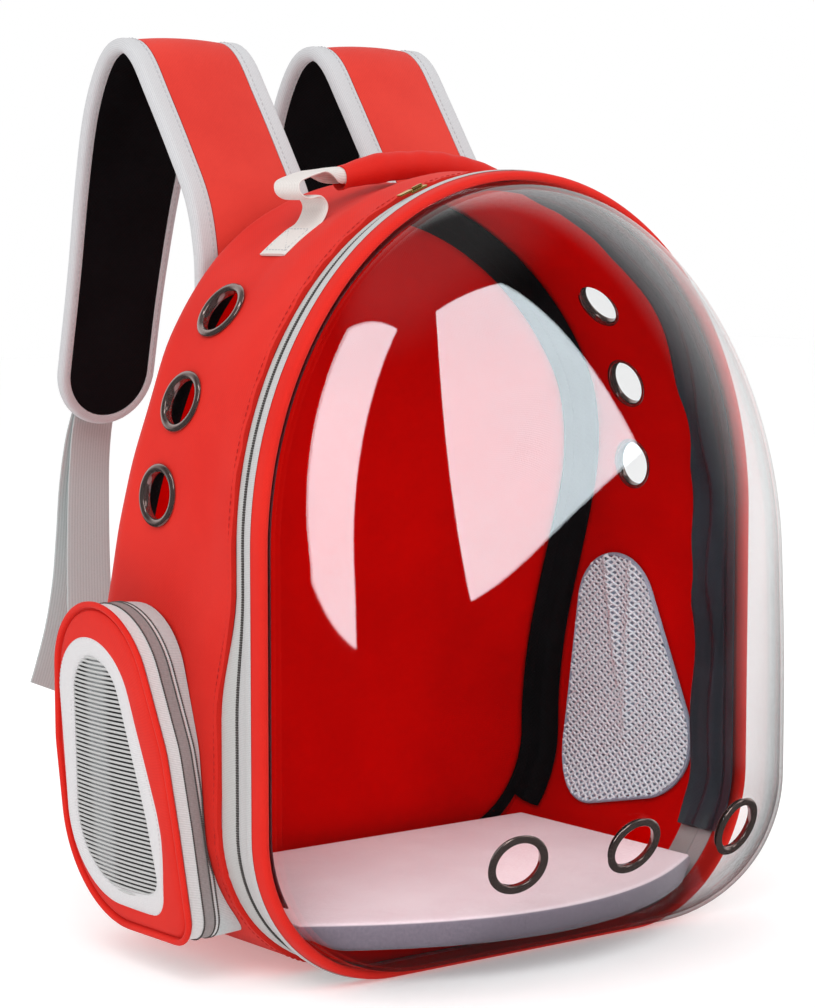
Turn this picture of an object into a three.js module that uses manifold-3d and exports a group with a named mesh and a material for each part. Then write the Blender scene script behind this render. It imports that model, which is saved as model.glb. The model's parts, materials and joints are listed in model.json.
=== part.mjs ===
// Pet carrier backpack with a clear bubble front, in millimetres.
// +Z is up, the bubble faces -Y, and the origin is the centre of the flat base.
import * as THREE from 'three';
import { mergeVertices } from 'three/addons/utils/BufferGeometryUtils.js';
import Module from 'manifold-3d';

const wasm = await Module();
wasm.setup();

// Driving sizes of the shell
const HALF_WIDTH = 169;
const HEIGHT = 420;
const ARCH_START = 228.6;
const CORNER_RADIUS = 84;
const WALL = 3;
const GAP = 0.4;
const BASE_MIDDLE = 88;

// Rim, zip band and back, all measured back from the rim plane
const FRAME = { front: -3, back: 11, thick: 5, outerRound: 2.5, outerEase: 1.5, innerRound: 1 };
const BAND = { low: 27, start: 180, fall: 0.1 };
const BACK = { waist: 126, base: 174, top: 142, crown: 5, middle: 190 };
const BACK_BENDS = { baseEnd: 90, waistStart: 310, topStart: 290 };
const TOP_SAG = { depth: 6, start: 330 };

// Bubble
const DOME = { depth: 105, middle: 130, wall: 2, skirt: 6, powerTop: 1.8, powerSide: 2.2, powerFoot: 1.9 };

// Eyelets: wall hole, metal ring
const EYELET = { hole: 13, bore: 11, barrel: 12.4, flange: 17.2, washer: 15, proud: 3.2, sides: 12 };
const EYELET_INSIDE = { depth: 3.4, thick: 1.2, roll: 1.6, lip: 1 };
const CUTTER = { length: 40, spill: 10 };
const SLOPE_STEP = 10;

const CORNER_STEPS = 5;
const SIDE_STEPS = 2;
const ARCH_STEPS = 18;

const COLOUR = {
  red: 0xc81e14, darkRed: 0x9c1410, clear: 0xf4f6f8, black: 0x1a191b, lightGrey: 0xd6d1cf,
  webGrey: 0xb4aba8, tapeGrey: 0xa9aaa5, coil: 0x3b3a3d, gunmetal: 0x6f6462, pad: 0xe6d6d6,
  mesh: 0xe9e7e8, gold: 0xb08d4c,
};

function finish(colour, roughness, metalness = 0) {
  return new THREE.MeshStandardMaterial({ color: COLOUR[colour], roughness, metalness });
}

const MATERIAL = {
  redCloth: finish('red', 0.7),
  cabinRed: finish('darkRed', 0.75),
  clear: finish('clear', 0.05),
  blackCloth: finish('black', 0.85),
  binding: finish('lightGrey', 0.8),
  webbing: finish('webGrey', 0.85),
  tape: finish('tapeGrey', 0.8),
  coil: finish('coil', 0.45),
  gunmetal: finish('gunmetal', 0.3, 0.9),
  pad: finish('pad', 0.9),
  mesh: finish('mesh', 0.8),
  buckle: finish('black', 0.4),
  slider: finish('gold', 0.35, 0.9),
};

const bag = new THREE.Group();
bag.position.y = -BASE_MIDDLE;

function piece(name, geometry, material) {
  const mesh = new THREE.Mesh(geometry, material);
  mesh.name = name;
  bag.add(mesh);
  return mesh;
}

const point = (x, y, z) => new THREE.Vector3(x, y, z);
const smooth = THREE.MathUtils.smoothstep;

// Solids from loops: every loop has the same number of points, and neighbours are joined by quads.
// A closed loft runs round to its first loop, and an open one is capped at both ends.

function loft(loops, closed = false) {
  const size = loops[0].length;
  const points = loops.flat();
  const faces = [];
  const last = closed ? loops.length : loops.length - 1;
  for (let row = 0; row < last; row += 1) {
    const next = (row + 1) % loops.length;
    for (let i = 0; i < size; i += 1) {
      const j = (i + 1) % size;
      faces.push(row * size + i, row * size + j, next * size + j);
      faces.push(row * size + i, next * size + j, next * size + i);
    }
  }
  if (!closed) {
    capLoop(points, faces, 0, size, true);
    capLoop(points, faces, (loops.length - 1) * size, size, false);
  }
  return solidFrom(points, faces);
}

function capLoop(points, faces, start, size, first) {
  const centre = point(0, 0, 0);
  for (let i = 0; i < size; i += 1) centre.addScaledVector(points[start + i], 1 / size);
  const hub = points.push(centre) - 1;
  for (let i = 0; i < size; i += 1) {
    const here = start + i;
    const next = start + (i + 1) % size;
    faces.push(hub, first ? next : here, first ? here : next);
  }
}

function solidFrom(points, faces) {
  let volume = 0;
  for (let i = 0; i < faces.length; i += 3) {
    const [a, b, c] = [0, 1, 2].map((k) => points[faces[i + k]]);
    volume += a.dot(b.clone().cross(c));
  }
  if (volume < 0) {
    for (let i = 0; i < faces.length; i += 3) [faces[i], faces[i + 1]] = [faces[i + 1], faces[i]];
  }
  const geometry = new THREE.BufferGeometry().setFromPoints(points);
  geometry.setIndex(faces);
  geometry.computeVertexNormals();
  return geometry;
}

function toManifold(geometry) {
  const bare = geometry.clone();
  bare.deleteAttribute('normal');
  bare.deleteAttribute('uv');
  const merged = mergeVertices(bare, 1e-4);
  return new wasm.Manifold(new wasm.Mesh({
    numProp: 3,
    vertProperties: Float32Array.from(merged.attributes.position.array),
    triVerts: Uint32Array.from(merged.index.array),
  }));
}

function cut(geometry, tools) {
  let solid = toManifold(geometry);
  for (const tool of tools) solid = solid.subtract(toManifold(tool));
  const mesh = solid.getMesh();
  const result = new THREE.BufferGeometry();
  result.setAttribute('position', new THREE.BufferAttribute(mesh.vertProperties, 3));
  result.setIndex(new THREE.BufferAttribute(mesh.triVerts, 1));
  result.computeVertexNormals();
  return result;
}

// The rim outline, as one loop of points in x and z, pulled in by an inset

function rim(inset = 0) {
  const half = [];
  const cornerX = HALF_WIDTH - CORNER_RADIUS;
  const radius = CORNER_RADIUS - inset;
  half.push({ x: 0, z: inset });
  for (let i = 0; i <= CORNER_STEPS; i += 1) {
    const turn = (i / CORNER_STEPS) * Math.PI / 2;
    half.push({ x: cornerX + radius * Math.sin(turn), z: CORNER_RADIUS - radius * Math.cos(turn) });
  }
  for (let i = 1; i < SIDE_STEPS; i += 1) {
    half.push({ x: HALF_WIDTH - inset, z: THREE.MathUtils.lerp(CORNER_RADIUS, ARCH_START, i / SIDE_STEPS) });
  }
  for (let i = 0; i <= ARCH_STEPS / 2; i += 1) {
    const turn = (i / ARCH_STEPS) * Math.PI;
    half.push({
      x: (HALF_WIDTH - inset) * Math.cos(turn),
      z: ARCH_START + (HEIGHT - ARCH_START - inset) * Math.sin(turn),
    });
  }
  const mirrored = half.slice(1, -1).reverse().map(({ x, z }) => ({ x: -x, z }));
  return [...half, ...mirrored];
}

// Half-width of the faceted outline at a height, and its height over the arch at a distance from the middle

function sideX(z, inset = 0) {
  const right = rim(inset).filter(({ x }) => x > 0);
  for (let i = 0; i + 1 < right.length; i += 1) {
    const [a, b] = [right[i], right[i + 1]];
    if (z >= a.z && z <= b.z) return THREE.MathUtils.mapLinear(z, a.z, b.z, a.x, b.x);
  }
  return 0;
}

function archZ(x) {
  const arch = rim().filter((p) => p.z >= ARCH_START);
  for (let i = 0; i + 1 < arch.length; i += 1) {
    const [a, b] = [arch[i], arch[i + 1]];
    if (x <= a.x && x >= b.x) return THREE.MathUtils.mapLinear(x, a.x, b.x, a.z, b.z);
  }
  return 0;
}

const bandWidth = (z) => BAND.low - BAND.fall * Math.max(0, z - BAND.start);
const shellFront = (z) => FRAME.back + GAP + bandWidth(z);

function shellBack(z) {
  const foot = 1 - smooth(z, BACK_BENDS.baseEnd, BACK_BENDS.waistStart);
  const head = smooth(z, BACK_BENDS.topStart, HEIGHT);
  return BACK.waist + (BACK.base - BACK.waist) * foot + (BACK.top - BACK.waist) * head;
}

// A band that follows the rim: front and back give y at a height, insets its outer and inner side

function rimBand(front, back, outer, inner, keep = () => true) {
  const outside = rim(outer);
  const inside = rim(inner);
  const loops = [];
  outside.forEach((o, i) => {
    if (!keep(o)) return;
    const n = inside[i];
    loops.push([
      point(o.x, front(o.z), o.z), point(o.x, back(o.z), o.z),
      point(n.x, back(o.z), n.z), point(n.x, front(o.z), n.z),
    ]);
  });
  return loops;
}

// Gusset: one row for each line along its depth; turn is how far the wall has bent towards the back,
// and sag is the share of the dip that the cloth takes under the handle

const GUSSET_ROWS = [
  { along: 0, inset: 0, turn: 0, sag: 0 },
  { along: 0.26, inset: 0, turn: 0, sag: 0 },
  { along: 0.37, inset: 0, turn: 0, sag: 1 },
  { along: 0.86, inset: 0, turn: 0, sag: 0.8 },
  { along: 0.95, inset: 3, turn: 35, sag: 0.5 },
  { along: 1, inset: 13, turn: 90, sag: 0 },
];
const topSag = (z) => TOP_SAG.depth * smooth(z, TOP_SAG.start, HEIGHT);

const SIDE_EYELETS = [{ y: 85, z: 347 }, { y: 87, z: 300 }, { y: 93, z: 251 }];

function gussetShell() {
  const lines = GUSSET_ROWS.map(({ along, inset, turn, sag }) => {
    const bend = THREE.MathUtils.degToRad(turn);
    const outside = rim(inset);
    const inside = rim(inset + WALL * Math.cos(bend));
    return outside.map((o, i) => {
      const n = inside[i];
      const y = THREE.MathUtils.lerp(shellFront(o.z), shellBack(o.z), along);
      const dip = sag * topSag(o.z);
      return { outer: point(o.x, y, o.z - dip), inner: point(n.x, y - WALL * Math.sin(bend), n.z - dip) };
    });
  });
  const loops = lines[0].map((_, i) => [
    ...lines.map((line) => line[i].outer),
    ...lines.map((line) => line[i].inner).reverse(),
  ]);
  return loft(loops, true);
}

function sideEyeletPlace(side, { y, z }) {
  const slope = (sideX(z + SLOPE_STEP) - sideX(z - SLOPE_STEP)) / (2 * SLOPE_STEP);
  return {
    at: point(side * sideX(z), y, z),
    out: point(side, 0, -slope).normalize(),
  };
}

function holeTool({ at, out }) {
  const tool = new THREE.CylinderGeometry(EYELET.hole, EYELET.hole, CUTTER.length, EYELET.sides);
  tool.applyQuaternion(new THREE.Quaternion().setFromUnitVectors(point(0, 1, 0), out));
  return tool.translate(at.x, at.y, at.z);
}

// Rounded outlines on the side walls: the hull of a few circles, in y and z

const POD_OUTLINE = [
  { y: 108, z: 150, r: 46 }, { y: 105, z: 112, r: 55 }, { y: 103, z: 77, r: 57 }, { y: 58, z: 36, r: 15.5 },
];
const TRIM_OUTLINE = [
  { y: 116, z: 142, r: 35 }, { y: 108, z: 78, r: 46 }, { y: 77, z: 45, r: 13 },
];
const WINDOW_OUTLINE = [
  { y: 114, z: 142, r: 23 }, { y: 110, z: 78, r: 35 }, { y: 81, z: 55, r: 11 },
];
const WALL_WINDOW = [
  { y: 106, z: 162, r: 27 }, { y: 79, z: 92, r: 32 }, { y: 121, z: 76, r: 25 },
];
const HOLE_POINTS = 20;
const WALL_HOLE = [
  { y: 106, z: 162, r: 26 }, { y: 86, z: 92, r: 30 }, { y: 121, z: 76, r: 24 },
];
const OUTLINE_POINTS = 26;

function hullLoop(circles, grow = 0, count = OUTLINE_POINTS) {
  const fine = [];
  const directions = 720;
  for (let i = 0; i < directions; i += 1) {
    const turn = (i / directions) * Math.PI * 2;
    const [cy, cz] = [Math.cos(turn), Math.sin(turn)];
    const reach = circles.map(({ y, z, r }) => y * cy + z * cz + r);
    const { y, z, r } = circles[reach.indexOf(Math.max(...reach))];
    fine.push(new THREE.Vector2(y + (r + grow) * cy, z + (r + grow) * cz));
  }
  const lengths = [0];
  for (let i = 1; i <= directions; i += 1) {
    lengths.push(lengths[i - 1] + fine[i - 1].distanceTo(fine[i % directions]));
  }
  const loop = [];
  let at = 0;
  for (let i = 0; i < count; i += 1) {
    const wanted = (i / count) * lengths[directions];
    while (lengths[at + 1] < wanted) at += 1;
    const part = (wanted - lengths[at]) / (lengths[at + 1] - lengths[at]);
    const p = fine[at].clone().lerp(fine[(at + 1) % directions], part);
    loop.push({ y: p.x, z: p.y });
  }
  return loop;
}

function windowTool(side) {
  const shape = hullLoop(WALL_HOLE, 0, HOLE_POINTS);
  const near = shape.map(({ y, z }) => point(side * (HALF_WIDTH - CUTTER.length), y, z));
  const far = shape.map(({ y, z }) => point(side * (HALF_WIDTH + CUTTER.spill), y, z));
  return loft([near, far]);
}

const SIDES = [{ word: 'left', side: -1 }, { word: 'right', side: 1 }];

const eyeletTools = SIDES.flatMap(({ side }) => SIDE_EYELETS.map((e) => holeTool(sideEyeletPlace(side, e))));
const windowTools = SIDES.map(({ side }) => windowTool(side));
piece('gusset', cut(gussetShell(), [...eyeletTools, ...windowTools]), MATERIAL.redCloth);

// Back panel: rings shrink towards its middle, and it bows out by the crown

const BACK_EDGE = GUSSET_ROWS.at(-1).inset + GAP;
const BACK_RINGS = [1, 0.88, 0.6, 0.25];

function backPanel() {
  const edge = rim(BACK_EDGE);
  const ring = (share, lift) => edge.map((p) => {
    const z = BACK.middle + (p.z - BACK.middle) * share;
    const y = shellBack(z) + BACK.crown * (1 - share * share);
    return point(p.x * share, y - lift, z);
  });
  const inner = [...BACK_RINGS].reverse().map((share) => ring(share, WALL));
  const outer = BACK_RINGS.map((share) => ring(share, 0));
  return loft([...inner, ...outer]);
}

piece('back_panel', backPanel(), MATERIAL.redCloth);

const SEAM_TAPE = { outer: 17, inner: 30, thick: 1.2, clear: 1.5 };
const seamBack = (z) => shellBack(z) - WALL - SEAM_TAPE.clear;
const seamFront = (z) => seamBack(z) - SEAM_TAPE.thick;
piece('back_seam_binding', loft(rimBand(seamFront, seamBack, SEAM_TAPE.outer, SEAM_TAPE.inner), true),
  MATERIAL.blackCloth);

// Black flap inside the gusset's front edge, over the sides and the top

const GUARD = { outer: 4.6, inner: 5.8, front: 13, back: 38.5, lowest: 44 };
const guardLoops = rimBand(() => GUARD.front, () => GUARD.back, GUARD.outer, GUARD.inner,
  ({ z }) => z > GUARD.lowest);
piece('inner_zip_guard', loft(guardLoops), MATERIAL.blackCloth);

// Door frame: a rounded section carried round the rim

const FRAME_SECTION = [
  { inset: 0, y: FRAME.back },
  { inset: 0, y: FRAME.front + FRAME.outerRound },
  { inset: FRAME.outerEase, y: FRAME.front },
  { inset: FRAME.thick - FRAME.innerRound, y: FRAME.front },
  { inset: FRAME.thick, y: FRAME.front + FRAME.innerRound },
  { inset: FRAME.thick, y: FRAME.back },
];

function frontFrame() {
  const lines = FRAME_SECTION.map(({ inset, y }) => rim(inset).map(({ x, z }) => point(x, y, z)));
  return loft(lines[0].map((_, i) => lines.map((line) => line[i])), true);
}

piece('front_frame', frontFrame(), MATERIAL.redCloth);

// Main zip: two tapes that meet, and the coil over the join

const TAPE = { outer: 2.6, inner: 4 };
const COIL = { outer: 0.9, inner: 2.3, width: 6, share: 0.5 };
const zipLine = (z) => FRAME.back + GAP + bandWidth(z) / 2;
const coilHalf = (z) => Math.min(COIL.width, COIL.share * bandWidth(z)) / 2;

const doorTape = rimBand(() => FRAME.back + GAP, (z) => zipLine(z) - GAP / 2, TAPE.outer, TAPE.inner);
const shellTape = rimBand((z) => zipLine(z) + GAP / 2, (z) => shellFront(z) - GAP, TAPE.outer, TAPE.inner);
const coilFront = (z) => zipLine(z) - coilHalf(z);
const coilBack = (z) => zipLine(z) + coilHalf(z);
const coilBand = rimBand(coilFront, coilBack, COIL.outer, COIL.inner);
piece('zip_tape_door', loft(doorTape, true), MATERIAL.tape);
piece('zip_tape_shell', loft(shellTape, true), MATERIAL.tape);
piece('zip_coil', loft(coilBand, true), MATERIAL.coil);

const SLIDER = { x: -56, length: 11, width: 5.6, height: 2.6, nose: 3, tail: 0.6, tip: 0.5 };

function zipSlider() {
  const half = SLIDER.width / 2;
  const end = SLIDER.length / 2;
  const outline = [
    [-end, -half * SLIDER.tail], [end - SLIDER.nose, -half], [end, -half * SLIDER.tip],
    [end, half * SLIDER.tip], [end - SLIDER.nose, half], [-end, half * SLIDER.tail],
  ];
  const shape = new THREE.Shape(outline.map(([u, v]) => new THREE.Vector2(u, v)));
  const body = new THREE.ExtrudeGeometry(shape, { depth: SLIDER.height, bevelEnabled: false });
  const rise = archZ(SLIDER.x + SLOPE_STEP) - archZ(SLIDER.x - SLOPE_STEP);
  const lean = Math.atan2(rise, 2 * SLOPE_STEP);
  const z = archZ(SLIDER.x);
  body.rotateY(-lean);
  return body.translate(SLIDER.x, zipLine(z), z + GAP);
}

piece('zip_slider', zipSlider(), MATERIAL.slider);

// Bubble: share is how far out a ring lies between the middle and the rim

const DOME_RINGS = [1, 0.97, 0.9, 0.78, 0.62, 0.42, 0.15];
const DOME_EDGE = FRAME.thick + GAP;

function domePower(dx, dz) {
  const across = Math.abs(dx) / Math.hypot(dx, dz);
  if (dz > 0) return THREE.MathUtils.lerp(DOME.powerTop, DOME.powerSide, across * across);
  const flatEnd = Math.sin(Math.atan2(HALF_WIDTH - CORNER_RADIUS, DOME.middle));
  return THREE.MathUtils.lerp(DOME.powerFoot, DOME.powerSide, smooth(across, flatEnd, 1));
}

function domeDepth(share, power, depth) {
  return -depth * (1 - share ** power) ** (1 / power);
}

function domeRings(inset, depth) {
  const edge = rim(inset);
  const rings = DOME_RINGS.map((share) => edge.map(({ x, z }) => {
    const dz = z - DOME.middle;
    return point(x * share, domeDepth(share, domePower(x, dz), depth), DOME.middle + dz * share);
  }));
  return [edge.map(({ x, z }) => point(x, DOME.skirt, z)), ...rings];
}

function domeY(x, z) {
  const dz = z - DOME.middle;
  const edge = rim(DOME_EDGE);
  let share = 1;
  edge.forEach((a, i) => {
    const b = edge[(i + 1) % edge.length];
    const [ax, az, bx, bz] = [a.x, a.z - DOME.middle, b.x, b.z - DOME.middle];
    const cross = ax * bz - az * bx;
    const [u, v] = [(x * bz - dz * bx) / cross, (ax * dz - az * x) / cross];
    if (u >= 0 && v >= 0) share = u + v;
  });
  return domeDepth(share, domePower(x, dz), DOME.depth);
}

const DOME_EYELETS = [{ x: -75, z: 75 }, { x: 0, z: 75 }, { x: 75, z: 75 }];

function domeEyeletPlace({ x, z }) {
  const slopeX = (domeY(x + SLOPE_STEP, z) - domeY(x - SLOPE_STEP, z)) / (2 * SLOPE_STEP);
  const slopeZ = (domeY(x, z + SLOPE_STEP) - domeY(x, z - SLOPE_STEP)) / (2 * SLOPE_STEP);
  return { at: point(x, domeY(x, z), z), out: point(slopeX, -1, slopeZ).normalize() };
}

const domeShell = loft([
  ...domeRings(DOME_EDGE + DOME.wall, DOME.depth - DOME.wall).reverse(),
  ...domeRings(DOME_EDGE, DOME.depth),
]);
piece('dome', cut(domeShell, DOME_EYELETS.map((e) => holeTool(domeEyeletPlace(e)))), MATERIAL.clear);

// Eyelets: a rolled flange outside, a barrel through the hole and a washer inside

function eyeletRing(wall) {
  const { bore, barrel, flange, washer, proud } = EYELET;
  const { depth, thick, roll, lip } = EYELET_INSIDE;
  const bottom = -wall - depth;
  const profile = [
    [bore, bottom], [washer, bottom], [washer, bottom + thick], [barrel, bottom + thick], [barrel, GAP],
    [flange, GAP], [flange - roll, proud], [bore + lip, proud], [bore, bottom],
  ];
  return new THREE.LatheGeometry(profile.map(([r, h]) => new THREE.Vector2(r, h)), EYELET.sides);
}

function eyelet(name, { at, out }, wall) {
  const ring = piece(name, eyeletRing(wall), MATERIAL.gunmetal);
  ring.position.copy(at);
  ring.quaternion.setFromUnitVectors(point(0, 1, 0), out);
}

for (const { word, side } of SIDES) {
  SIDE_EYELETS.forEach((e, i) => eyelet(`side_grommet_${word}_${i + 1}`, sideEyeletPlace(side, e), WALL));
}
DOME_EYELETS.forEach((e, i) => eyelet(`dome_grommet_${i + 1}`, domeEyeletPlace(e), DOME.wall));

// Floor: a covered board with a pad on it, both rounded to the corners of the shell

const BOARD = { bottom: TAPE.inner + GAP, top: 25, front: 14, back: 152, side: TAPE.inner + 1, clear: 1 };
const BOARD_HEIGHTS = [BOARD.bottom, 8, 14, BOARD.top];
const PAD = { bottom: BOARD.top + GAP, top: 34, bulge: 40, back: 162, side: 8 };
const FLOOR_STEPS = 10;

function boardLoop(z) {
  const half = z > BOARD.side ? sideX(z, BOARD.side) - BOARD.clear : HALF_WIDTH - CORNER_RADIUS;
  return [point(-half, BOARD.front, z), point(half, BOARD.front, z), point(half, BOARD.back, z),
    point(-half, BOARD.back, z)];
}

function padLoop(z) {
  const half = sideX(z, PAD.side);
  const loop = [point(half, PAD.back, z), point(-half, PAD.back, z)];
  for (let i = 0; i <= FLOOR_STEPS; i += 1) {
    const across = -1 + (2 * i) / FLOOR_STEPS;
    loop.push(point(across * half, -PAD.bulge * (1 - across * across) + FRAME.back * across * across, z));
  }
  return loop;
}

piece('base_board', loft(BOARD_HEIGHTS.map(boardLoop)), MATERIAL.cabinRed);
piece('floor_pad', loft([padLoop(PAD.bottom), padLoop(PAD.top)]), MATERIAL.pad);

// Side pods: the face leans in towards the floor, and its height above the wall is counted along x

const POD_FACE = { atFloor: 179, lean: 0.1, thick: 2.5, lap: 3 };
const POD_PIPING = { foot: -0.6, belly: 0.6, top: -2, height: 2.2, inner: -4.5 };
const POD_TRIM = { low: GAP, high: GAP + 1.4 };
const POD_MESH = { low: -1, high: 0, grow: 3.5 };
const POD_WALL = { outer: -2.6, inner: -4.6, clear: 0.5, clearLow: 2 };
const POD_COIL = { inner: -2.2, outer: -1, width: 9 };
const WALL_MESH = { outer: WALL + GAP, inner: WALL + GAP + 0.9, grow: 6, rings: [1, 0.66, 0.2], points: 20 };
const MESH_TAPE = { outer: WALL_MESH.inner + 1.8, inner: WALL_MESH.inner + 3, grow: 7, lap: 3 };

const podFaceX = (z) => POD_FACE.atFloor + POD_FACE.lean * z;

// Outer wall of the shell at a depth and a height, counting the rounded back edge

function shellX(y, z) {
  const along = THREE.MathUtils.inverseLerp(shellFront(z), shellBack(z), y);
  const rows = GUSSET_ROWS;
  const at = Math.max(1, rows.findIndex((row) => row.along >= Math.min(1, along)));
  const { along: low, inset: from } = rows[at - 1];
  const { along: high, inset: to } = rows[at];
  const inset = THREE.MathUtils.mapLinear(Math.min(1, Math.max(low, along)), low, high, from, to);
  return sideX(z, inset);
}

// A ring on a pod: each row of the section has an outline, how far it grows and its x at a point

function podRing(side, section) {
  const lines = section.map(({ outline, grow, x }) => hullLoop(outline, grow)
    .map(({ y, z }) => point(side * x(y, z), y, z)));
  return loft(lines[0].map((_, i) => lines.map((line) => line[i])), true);
}

function podNet(side) {
  const edge = hullLoop(WINDOW_OUTLINE, POD_MESH.grow);
  const layer = (height) => edge.map(({ y, z }) => point(side * (podFaceX(z) + height), y, z));
  return loft([layer(POD_MESH.low), layer(POD_MESH.high)]);
}

// The net behind a wall window follows the wall, in rings that shrink towards its middle

function wallNet(side) {
  const edge = hullLoop(WALL_WINDOW, WALL_MESH.grow, WALL_MESH.points);
  const [cy, cz] = ['y', 'z'].map((k) => edge.reduce((sum, p) => sum + p[k], 0) / edge.length);
  const ring = (share, inset) => edge.map((p) => {
    const z = cz + (p.z - cz) * share;
    return point(side * sideX(z, inset), cy + (p.y - cy) * share, z);
  });
  const inner = [...WALL_MESH.rings].reverse().map((share) => ring(share, WALL_MESH.inner));
  const outer = WALL_MESH.rings.map((share) => ring(share, WALL_MESH.outer));
  return loft([...inner, ...outer]);
}

const above = (height) => (y, z) => podFaceX(z) + height;
const podFoot = (y, z) => shellX(y, z) + (z < CORNER_RADIUS ? POD_WALL.clearLow : POD_WALL.clear);
const podMiddle = (shift) => (y, z) => (shellX(y, z) + podFaceX(z)) / 2 + shift;

for (const { word, side } of SIDES) {
  const under = -POD_FACE.thick;
  piece(`pod_gusset_${word}`, podRing(side, [
    { outline: POD_OUTLINE, grow: POD_WALL.outer, x: podFoot },
    { outline: POD_OUTLINE, grow: POD_WALL.outer, x: above(under - GAP) },
    { outline: POD_OUTLINE, grow: POD_WALL.inner, x: above(under - GAP) },
    { outline: POD_OUTLINE, grow: POD_WALL.inner, x: podFoot },
  ]), MATERIAL.tape);
  piece(`pod_zip_coil_${word}`, podRing(side, [
    { outline: POD_OUTLINE, grow: POD_COIL.outer, x: podMiddle(-POD_COIL.width / 2) },
    { outline: POD_OUTLINE, grow: POD_COIL.outer, x: podMiddle(POD_COIL.width / 2) },
    { outline: POD_OUTLINE, grow: POD_COIL.inner, x: podMiddle(POD_COIL.width / 2) },
    { outline: POD_OUTLINE, grow: POD_COIL.inner, x: podMiddle(-POD_COIL.width / 2) },
  ]), MATERIAL.coil);
  piece(`pod_face_${word}`, podRing(side, [
    { outline: POD_OUTLINE, grow: POD_PIPING.foot, x: above(under) },
    { outline: POD_OUTLINE, grow: 0, x: above(POD_PIPING.belly) },
    { outline: POD_OUTLINE, grow: POD_PIPING.top, x: above(POD_PIPING.height) },
    { outline: POD_OUTLINE, grow: POD_PIPING.inner, x: above(0) },
    { outline: TRIM_OUTLINE, grow: -POD_FACE.lap, x: above(0) },
    { outline: TRIM_OUTLINE, grow: -POD_FACE.lap, x: above(under) },
  ]), MATERIAL.redCloth);
  piece(`pod_trim_${word}`, podRing(side, [
    { outline: TRIM_OUTLINE, grow: 0, x: above(POD_TRIM.low) },
    { outline: TRIM_OUTLINE, grow: 0, x: above(POD_TRIM.high) },
    { outline: WINDOW_OUTLINE, grow: 0, x: above(POD_TRIM.high) },
    { outline: WINDOW_OUTLINE, grow: 0, x: above(POD_TRIM.low) },
  ]), MATERIAL.binding);
  piece(`pod_mesh_${word}`, podNet(side), MATERIAL.mesh);
  piece(`wall_mesh_${word}`, wallNet(side), MATERIAL.mesh);
  piece(`wall_mesh_border_${word}`, podRing(side, [
    { outline: WALL_WINDOW, grow: MESH_TAPE.grow, x: (y, z) => sideX(z, MESH_TAPE.outer) },
    { outline: WALL_WINDOW, grow: -MESH_TAPE.lap, x: (y, z) => sideX(z, MESH_TAPE.outer) },
    { outline: WALL_WINDOW, grow: -MESH_TAPE.lap, x: (y, z) => sideX(z, MESH_TAPE.inner) },
    { outline: WALL_WINDOW, grow: MESH_TAPE.grow, x: (y, z) => sideX(z, MESH_TAPE.inner) },
  ]), MATERIAL.webbing);
}

// Shoulder straps: a route in the air, a flat outline along it with a round tip, and layers across it

const STRAP = { width: 66, edge: 10, inner: -4, outer: 5, proud: 0.6, stations: 18, tipSteps: 8 };
const STRAP_FLARE = { extra: 0.25, from: 0.35, to: 0.85 };
const STRAP_ROUTE = [
  { x: 68, y: 145, z: 350 }, { x: 68, y: 146, z: 376 }, { x: 67, y: 155, z: 404 }, { x: 66, y: 174, z: 432 },
  { x: 66, y: 196, z: 463 }, { x: 66, y: 213, z: 485 }, { x: 66, y: 229, z: 492 }, { x: 66, y: 247, z: 484 },
  { x: 66, y: 266, z: 456 }, { x: 66, y: 281, z: 414 }, { x: 66, y: 294, z: 364 }, { x: 66, y: 305, z: 318 },
  { x: 66, y: 315, z: 272 },
];

function strapMap(side) {
  const route = new THREE.CatmullRomCurve3(STRAP_ROUTE.map(({ x, y, z }) => point(side * x, y, z)));
  const length = route.getLength();
  return {
    length,
    place(along, across, lift) {
      const share = THREE.MathUtils.clamp(along / length, 0, 1);
      const tangent = route.getTangentAt(share);
      const up = point(0, -tangent.z, tangent.y).normalize();
      const spot = route.getPointAt(share).addScaledVector(up, lift);
      const narrowed = THREE.MathUtils.smoothstep(share, STRAP_FLARE.from, STRAP_FLARE.to);
      return spot.add(point(across * (1 + STRAP_FLARE.extra * (1 - narrowed)), 0, 0));
    },
  };
}

function strapLayer({ length, place }, low, high) {
  const half = STRAP.width / 2 - STRAP.edge - GAP;
  const round = length - STRAP.width / 2;
  const cuts = [];
  for (let i = 0; i <= STRAP.stations; i += 1) cuts.push({ along: (i / STRAP.stations) * round, half });
  for (let i = 1; i < STRAP.tipSteps / 2; i += 1) {
    const turn = (i / (STRAP.tipSteps / 2)) * Math.PI / 2;
    cuts.push({ along: round + half * Math.sin(turn), half: half * Math.cos(turn) });
  }
  return loft(cuts.map(({ along, half: w }) => [
    place(along, -w, low), place(along, w, low), place(along, w, high), place(along, -w, high),
  ]));
}

function strapBinding({ length, place }) {
  const outer = STRAP.width / 2;
  const inner = outer - STRAP.edge;
  const round = length - outer;
  const route = [];
  for (let i = 0; i < STRAP.stations; i += 1) route.push({ along: (i / STRAP.stations) * round, turn: 0 });
  for (let i = 0; i <= STRAP.tipSteps; i += 1) {
    route.push({ along: round, turn: (i / STRAP.tipSteps) * Math.PI });
  }
  for (let i = STRAP.stations - 1; i >= 0; i -= 1) {
    route.push({ along: (i / STRAP.stations) * round, turn: Math.PI });
  }
  const corner = ({ along, turn }, radius, lift) => place(along + radius * Math.sin(turn),
    -radius * Math.cos(turn), lift);
  const low = STRAP.inner - STRAP.proud;
  const high = STRAP.outer + STRAP.proud;
  return loft(route.map((stop) => [
    corner(stop, outer, low), corner(stop, inner, low), corner(stop, inner, high), corner(stop, outer, high),
  ]));
}

// Ladder lock under the strap's tip, and the webbing from it to the lower corner of the back

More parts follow.
